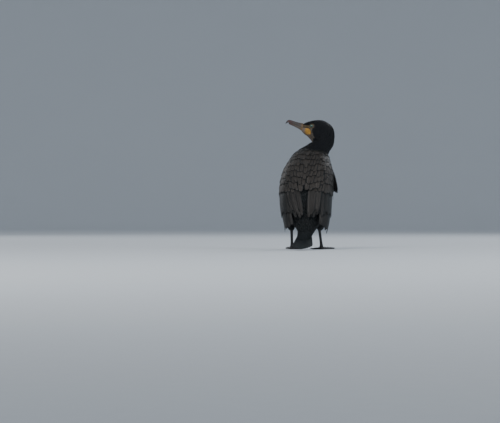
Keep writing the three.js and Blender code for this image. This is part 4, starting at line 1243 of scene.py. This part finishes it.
class BuildLegs(bpy.types.Operator):
    """Builds the scaled shanks, the webbed feet and the claws"""

    bl_idname = "cormorant.legs"
    bl_label = "Legs, feet and claws"

    def execute(self, context):
        bare = context.scene.cormorant_bare_parts
        shank_finish = self.scaled_skin("Shank skin", bare, 420.0)
        foot_finish = self.scaled_skin("Foot skin", bare, 620.0)
        claw_finish = self.claw_finish()
        for name, side in SIDES:
            shank = tube_mesh("leg_" + name, [self.shank(side)])
            show(shank, shank_finish, "leg_skin", "shank_" + name)
            tubes = [self.toe(side, *toe) for toe in TOES.values()] + [self.knob(side)]
            show(tube_mesh("toes_" + name, tubes), foot_finish, "leg_skin", "foot_" + name)
            webs = tube_mesh("webs_" + name, self.webs(side, bare.web_thickness / MM))
            show(webs, foot_finish, "leg_skin")
            for toe, shape in TOES.items():
                nail = tube_mesh(f"nail_{toe}_{name}", [self.claw(side, *shape)])
                show(nail, claw_finish, "claw", f"claw_{toe}_{name}")
        return {"FINISHED"}

    def shank(self, side):
        q = np.linspace(-0.12, 1.1, 90)
        ends = np.abs(2 * np.clip(q, 0, 1) - 1) ** 4
        swell = 1 + mix(0.42, 0.12, q < 0.5) * ends - 0.5 * ramp(0.02, -0.12, q) - 0.7 * ramp(0.93, 1.1, q)
        scute = 0.28 * np.abs(np.sin(q * np.pi * 13)) ** 0.6
        middle = mix(ANKLE * [side, 1, 1], HEEL * [side, 1, 1], q[:, None])
        run = unit((HEEL - ANKLE) * np.array([side, 1.0, 1.0]))
        right = unit(RIGHT - run * run[0])
        return ellipse(middle, right, np.cross(right, run), 4.6 * swell + scute, 5.9 * swell + scute, 36)

    def knob(self, side):
        z = np.linspace(1.2, 18.0, 16)
        swell = 1.04 - 0.5 * ramp(6, 18, z) - 0.2 * ramp(3, 0, z)
        middle = np.stack([np.full(16, side * HEEL[0]), HEEL[1] - 1 - 0.4 * np.maximum(z - 8, 0), z], axis=1)
        return ellipse(middle, RIGHT, BREAST, 8 * swell, 9 * swell, 32)

    def toe(self, side, length, outward, thick):
        q = np.linspace(0, 1.0, int(length / 1.3))
        start, end = heel_at(side), toe_end(side, length, outward)
        pads = round(length / 12) / 2
        fat = thick * mix(1.25, 0.75, q) * (1 + 0.09 * np.cos(2 * np.pi * q * pads))
        fat = fat * (1 - 0.5 * ramp(0.93, 1.0, q))
        scute = 0.14 * np.abs(np.sin(q * length * 0.75)) ** 0.5
        middle = mix(start, end, q[:, None])
        middle[:, 2] = fat * 0.66
        rings = ellipse(middle, np.cross(unit(end - start), UP), UP, fat, fat * 0.95 + scute, 28)
        flattened = 0.02 + 0.35 * np.abs(rings[..., 2]) * (rings[..., 2] < 0)
        rings[..., 2] = np.maximum(rings[..., 2], flattened)
        return rings

    def webs(self, side, thick):
        """The skin between the toes, with fine folds from the heel to its scooped edge."""
        ends = [toe_end(side, length, outward) for length, outward, _ in TOES.values()]
        q, r = np.linspace(0, 1, 40)[None, :], np.linspace(0, 1, 46)[:, None]
        scoop = 1 - 0.16 * 4 * q * (1 - q)
        folds = 0.25 * np.sin(q * 34 + 2 * np.sin(r * 7)) * np.sin(np.pi * q) * r
        reach = mix(0.06, 0.93 * scoop, r)
        sheets = []
        for one, other in zip(ends[:-1], ends[1:]):
            top = mix(heel_at(side), mix(one, other, q[..., None]), reach[..., None])
            low = top.copy()
            top[..., 2] = 0.5 + thick * mix(1.15, 0.75, r) + folds
            low[..., 2] = 0.45
            sheets.append(np.concatenate([top, low[:, ::-1]], axis=1))
        return sheets

    def claw(self, side, length, outward, thick):
        end = toe_end(side, length, outward)
        along = unit(end - heel_at(side))
        # Height, half width and half depth at distances past the toe's end.
        table = [
            (0.3, 2.7, thick * 0.5, 2.2),
            (4, 3.6, thick * 0.375, 1.7),
            (8, 2.9, thick * 0.225, 1.1),
            (11, 1.2, 0.45, 0.5),
        ]
        past, height, wide, high = columns_at(table, np.linspace(-1.2, 11, 30))
        middle = end + along * past[:, None]
        middle[:, 2] = height
        rings = ellipse(middle, np.cross(along, UP), UP, np.maximum(wide, 0.3), np.maximum(high, 0.3), 18)
        rings[..., 2] = np.maximum(rings[..., 2], 0.02)
        return rings

    def scaled_skin(self, name, bare, scale):
        """Black scaled skin, with fine plates and pale dust in their joints."""
        bench = Bench(name, 0.35)
        plates = {"feature": "DISTANCE_TO_EDGE"}
        cells = bench.add("ShaderNodeTexVoronoi", plates, Scale=scale, Vector=bench.place())
        off_joint = cells.outputs["Distance"]
        joint = bench.spread(off_joint, 0.0, 0.12, 1.0, 0.0)
        worn = bench.noise(80.0, 3.0)
        skin = bench.blend(bench.spread(worn, 0.35, 0.7), shade(bare.leg), shade(bare.leg, 1.9))
        bench.colour(bench.blend(bench.times(joint, 0.4), skin, (0.034, 0.032, 0.029)))
        bench.roughness(worn, 0.42, 0.6)
        bench.bump(bench.spread(off_joint, 0.0, 0.25), 0.6, 0.0004)
        return bench.material

    def claw_finish(self):
        bench = Bench("Claw horn", 0.5, {"Coat Weight": 0.4, "Coat Roughness": 0.25})
        along = bench.uv("lay")[1]
        streak = bench.noise(900.0, 3.0)
        worn = bench.blend(streak, (0.03, 0.027, 0.024), (0.075, 0.065, 0.055))
        bench.colour(bench.blend(bench.spread(along, 0.2, 1.0), (0.014, 0.013, 0.013), worn))
        bench.roughness(streak, 0.25, 0.42)
        bench.bump(streak, 0.2, 0.0002)
        return bench.material


class BuildStage(bpy.types.Operator):
    """Builds the pale floor that curves up all round, the soft lights and the camera"""

    bl_idname = "cormorant.stage"
    bl_label = "Stage"

    def execute(self, context):
        stage = context.scene.cormorant_stage
        self.floor(context, stage)
        self.lights(context, stage)
        self.camera(context, stage)
        return {"FINISHED"}

    def floor(self, context, stage, flat_radius=9.0, curve=3.0, spokes=96):
        turn = turns(spokes)
        bend = np.linspace(0, np.pi / 2, 16)[1:]
        wall = flat_radius + curve
        flat = np.linspace(0.5, flat_radius, 12)
        radius = np.concatenate([[0.02], flat, flat_radius + curve * np.sin(bend), [wall]])[:, None]
        height = np.concatenate([np.zeros(13), curve * (1 - np.cos(bend)), [curve + 2.5]])[:, None]
        rings = np.stack([radius * np.cos(turn), radius * np.sin(turn), height + 0 * turn], axis=-1)
        points = np.concatenate([rings.reshape(-1, 3), [[0.0, 0.0, 0.0]]]) / MM - SHIFT
        middle = tube_ends(1, spokes)[:spokes]
        middle = np.where(middle == spokes, len(points) - 1, middle)
        mesh = blend_mesh("floor", points, tube_sides(len(radius), spokes), middle)
        piece = bpy.data.objects.new("floor", mesh)
        context.scene.collection.objects.link(piece)
        bench = Bench("Pale floor", 0.25)
        paper = bench.noise(1.7, 4.0)
        bench.colour(bench.blend(paper, shade(stage.floor, 0.985), shade(stage.floor, 1.015)))
        bench.roughness(bench.noise(40.0), 0.72, 0.82)
        bench.bump(bench.noise(260.0), 0.06, 0.0005)
        mesh.materials.append(bench.material)

    def lights(self, context, stage):
        for name, place, size, share, tint in (
            ("key", (-1.5, -4.0, 3.4), 2.6, 0.82, (1.0, 0.985, 0.96)),
            ("fill", (3.6, -1.6, 2.0), 3.0, 0.42, (0.93, 0.97, 1.0)),
            ("rim", (1.4, 3.8, 3.2), 2.4, 0.4, (0.96, 0.98, 1.0)),
            ("front", (-3.0, 3.0, 1.8), 2.4, 0.12, (1.0, 0.98, 0.96)),
        ):
            lamp = bpy.data.lights.new(name, "AREA")
            lamp.shape = "DISK"
            lamp.size = size
            lamp.energy = stage.key_power * share
            lamp.color = tint
            self.hang(context, lamp, Vector(place), Vector((0, 0, 0.25)) - Vector(place))
        world = bpy.data.worlds.new("Soft sky")
        world.use_nodes = True
        sky = world.node_tree.nodes["Background"].inputs
        sky["Color"].default_value = (0.86, 0.92, 1.0, 1)
        sky["Strength"].default_value = 0.5
        context.scene.world = world

    def camera(self, context, stage):
        lens = bpy.data.cameras.new("camera")
        lens.sensor_width = 36.0
        lens.lens = lens.sensor_width * (stage.distance + BIRD_DEPTH) / stage.frame_width
        lens.clip_start = 0.1
        lens.clip_end = 60.0
        place = SHIFT * MM - ACROSS * stage.look_across - INTO * stage.distance
        place[2] = stage.camera_height
        context.scene.camera = self.hang(context, lens, Vector(place), Vector(INTO))

    def hang(self, context, kept, place, facing):
        """Puts a light or camera in its place, turned to face along a direction."""
        holder = bpy.data.objects.new(kept.name, kept)
        holder.location = place
        holder.rotation_mode = "QUATERNION"
        holder.rotation_quaternion = facing.to_track_quat("-Z", "Y")
        context.scene.collection.objects.link(holder)
        return holder


class CormorantPanel(bpy.types.Panel):
    """Lists the steps that build the bird"""

    bl_idname = "VIEW3D_PT_cormorant"
    bl_label = "Cormorant"
    bl_space_type = "VIEW_3D"
    bl_region_type = "UI"
    bl_category = "Cormorant"

    def draw(self, context):
        scene = context.scene
        for settings in (scene.cormorant_plumage, scene.cormorant_bare_parts, scene.cormorant_stage):
            box = self.layout.box()
            for name in settings.__annotations__:
                box.prop(settings, name)
        for step in STEPS:
            self.layout.operator(step.bl_idname)


STEPS = (
    BuildSkin, BuildBodyCoat, BuildHeadCoat, BuildWings, BuildTail,
    BuildBill, BuildThroat, BuildEyes, BuildLegs, BuildStage,
)
GROUPS = (CormorantPlumage, CormorantBareParts, CormorantStage)


def register():
    for made in (*GROUPS, *STEPS, CormorantPanel):
        bpy.utils.register_class(made)
    bpy.types.Scene.cormorant_plumage = bpy.props.PointerProperty(type=CormorantPlumage)
    bpy.types.Scene.cormorant_bare_parts = bpy.props.PointerProperty(type=CormorantBareParts)
    bpy.types.Scene.cormorant_stage = bpy.props.PointerProperty(type=CormorantStage)


def unregister():
    del bpy.types.Scene.cormorant_stage
    del bpy.types.Scene.cormorant_bare_parts
    del bpy.types.Scene.cormorant_plumage
    for made in reversed((*GROUPS, *STEPS, CormorantPanel)):
        bpy.utils.unregister_class(made)


def main():
    register()
    bpy.ops.cormorant.skin()
    bpy.ops.cormorant.body_coat()
    bpy.ops.cormorant.head_coat()
    bpy.ops.cormorant.wings()
    bpy.ops.cormorant.tail()
    bpy.ops.cormorant.bill()
    bpy.ops.cormorant.throat()
    bpy.ops.cormorant.eyes()
    bpy.ops.cormorant.legs()
    bpy.ops.cormorant.stage()


if __name__ == "__main__":
    main()
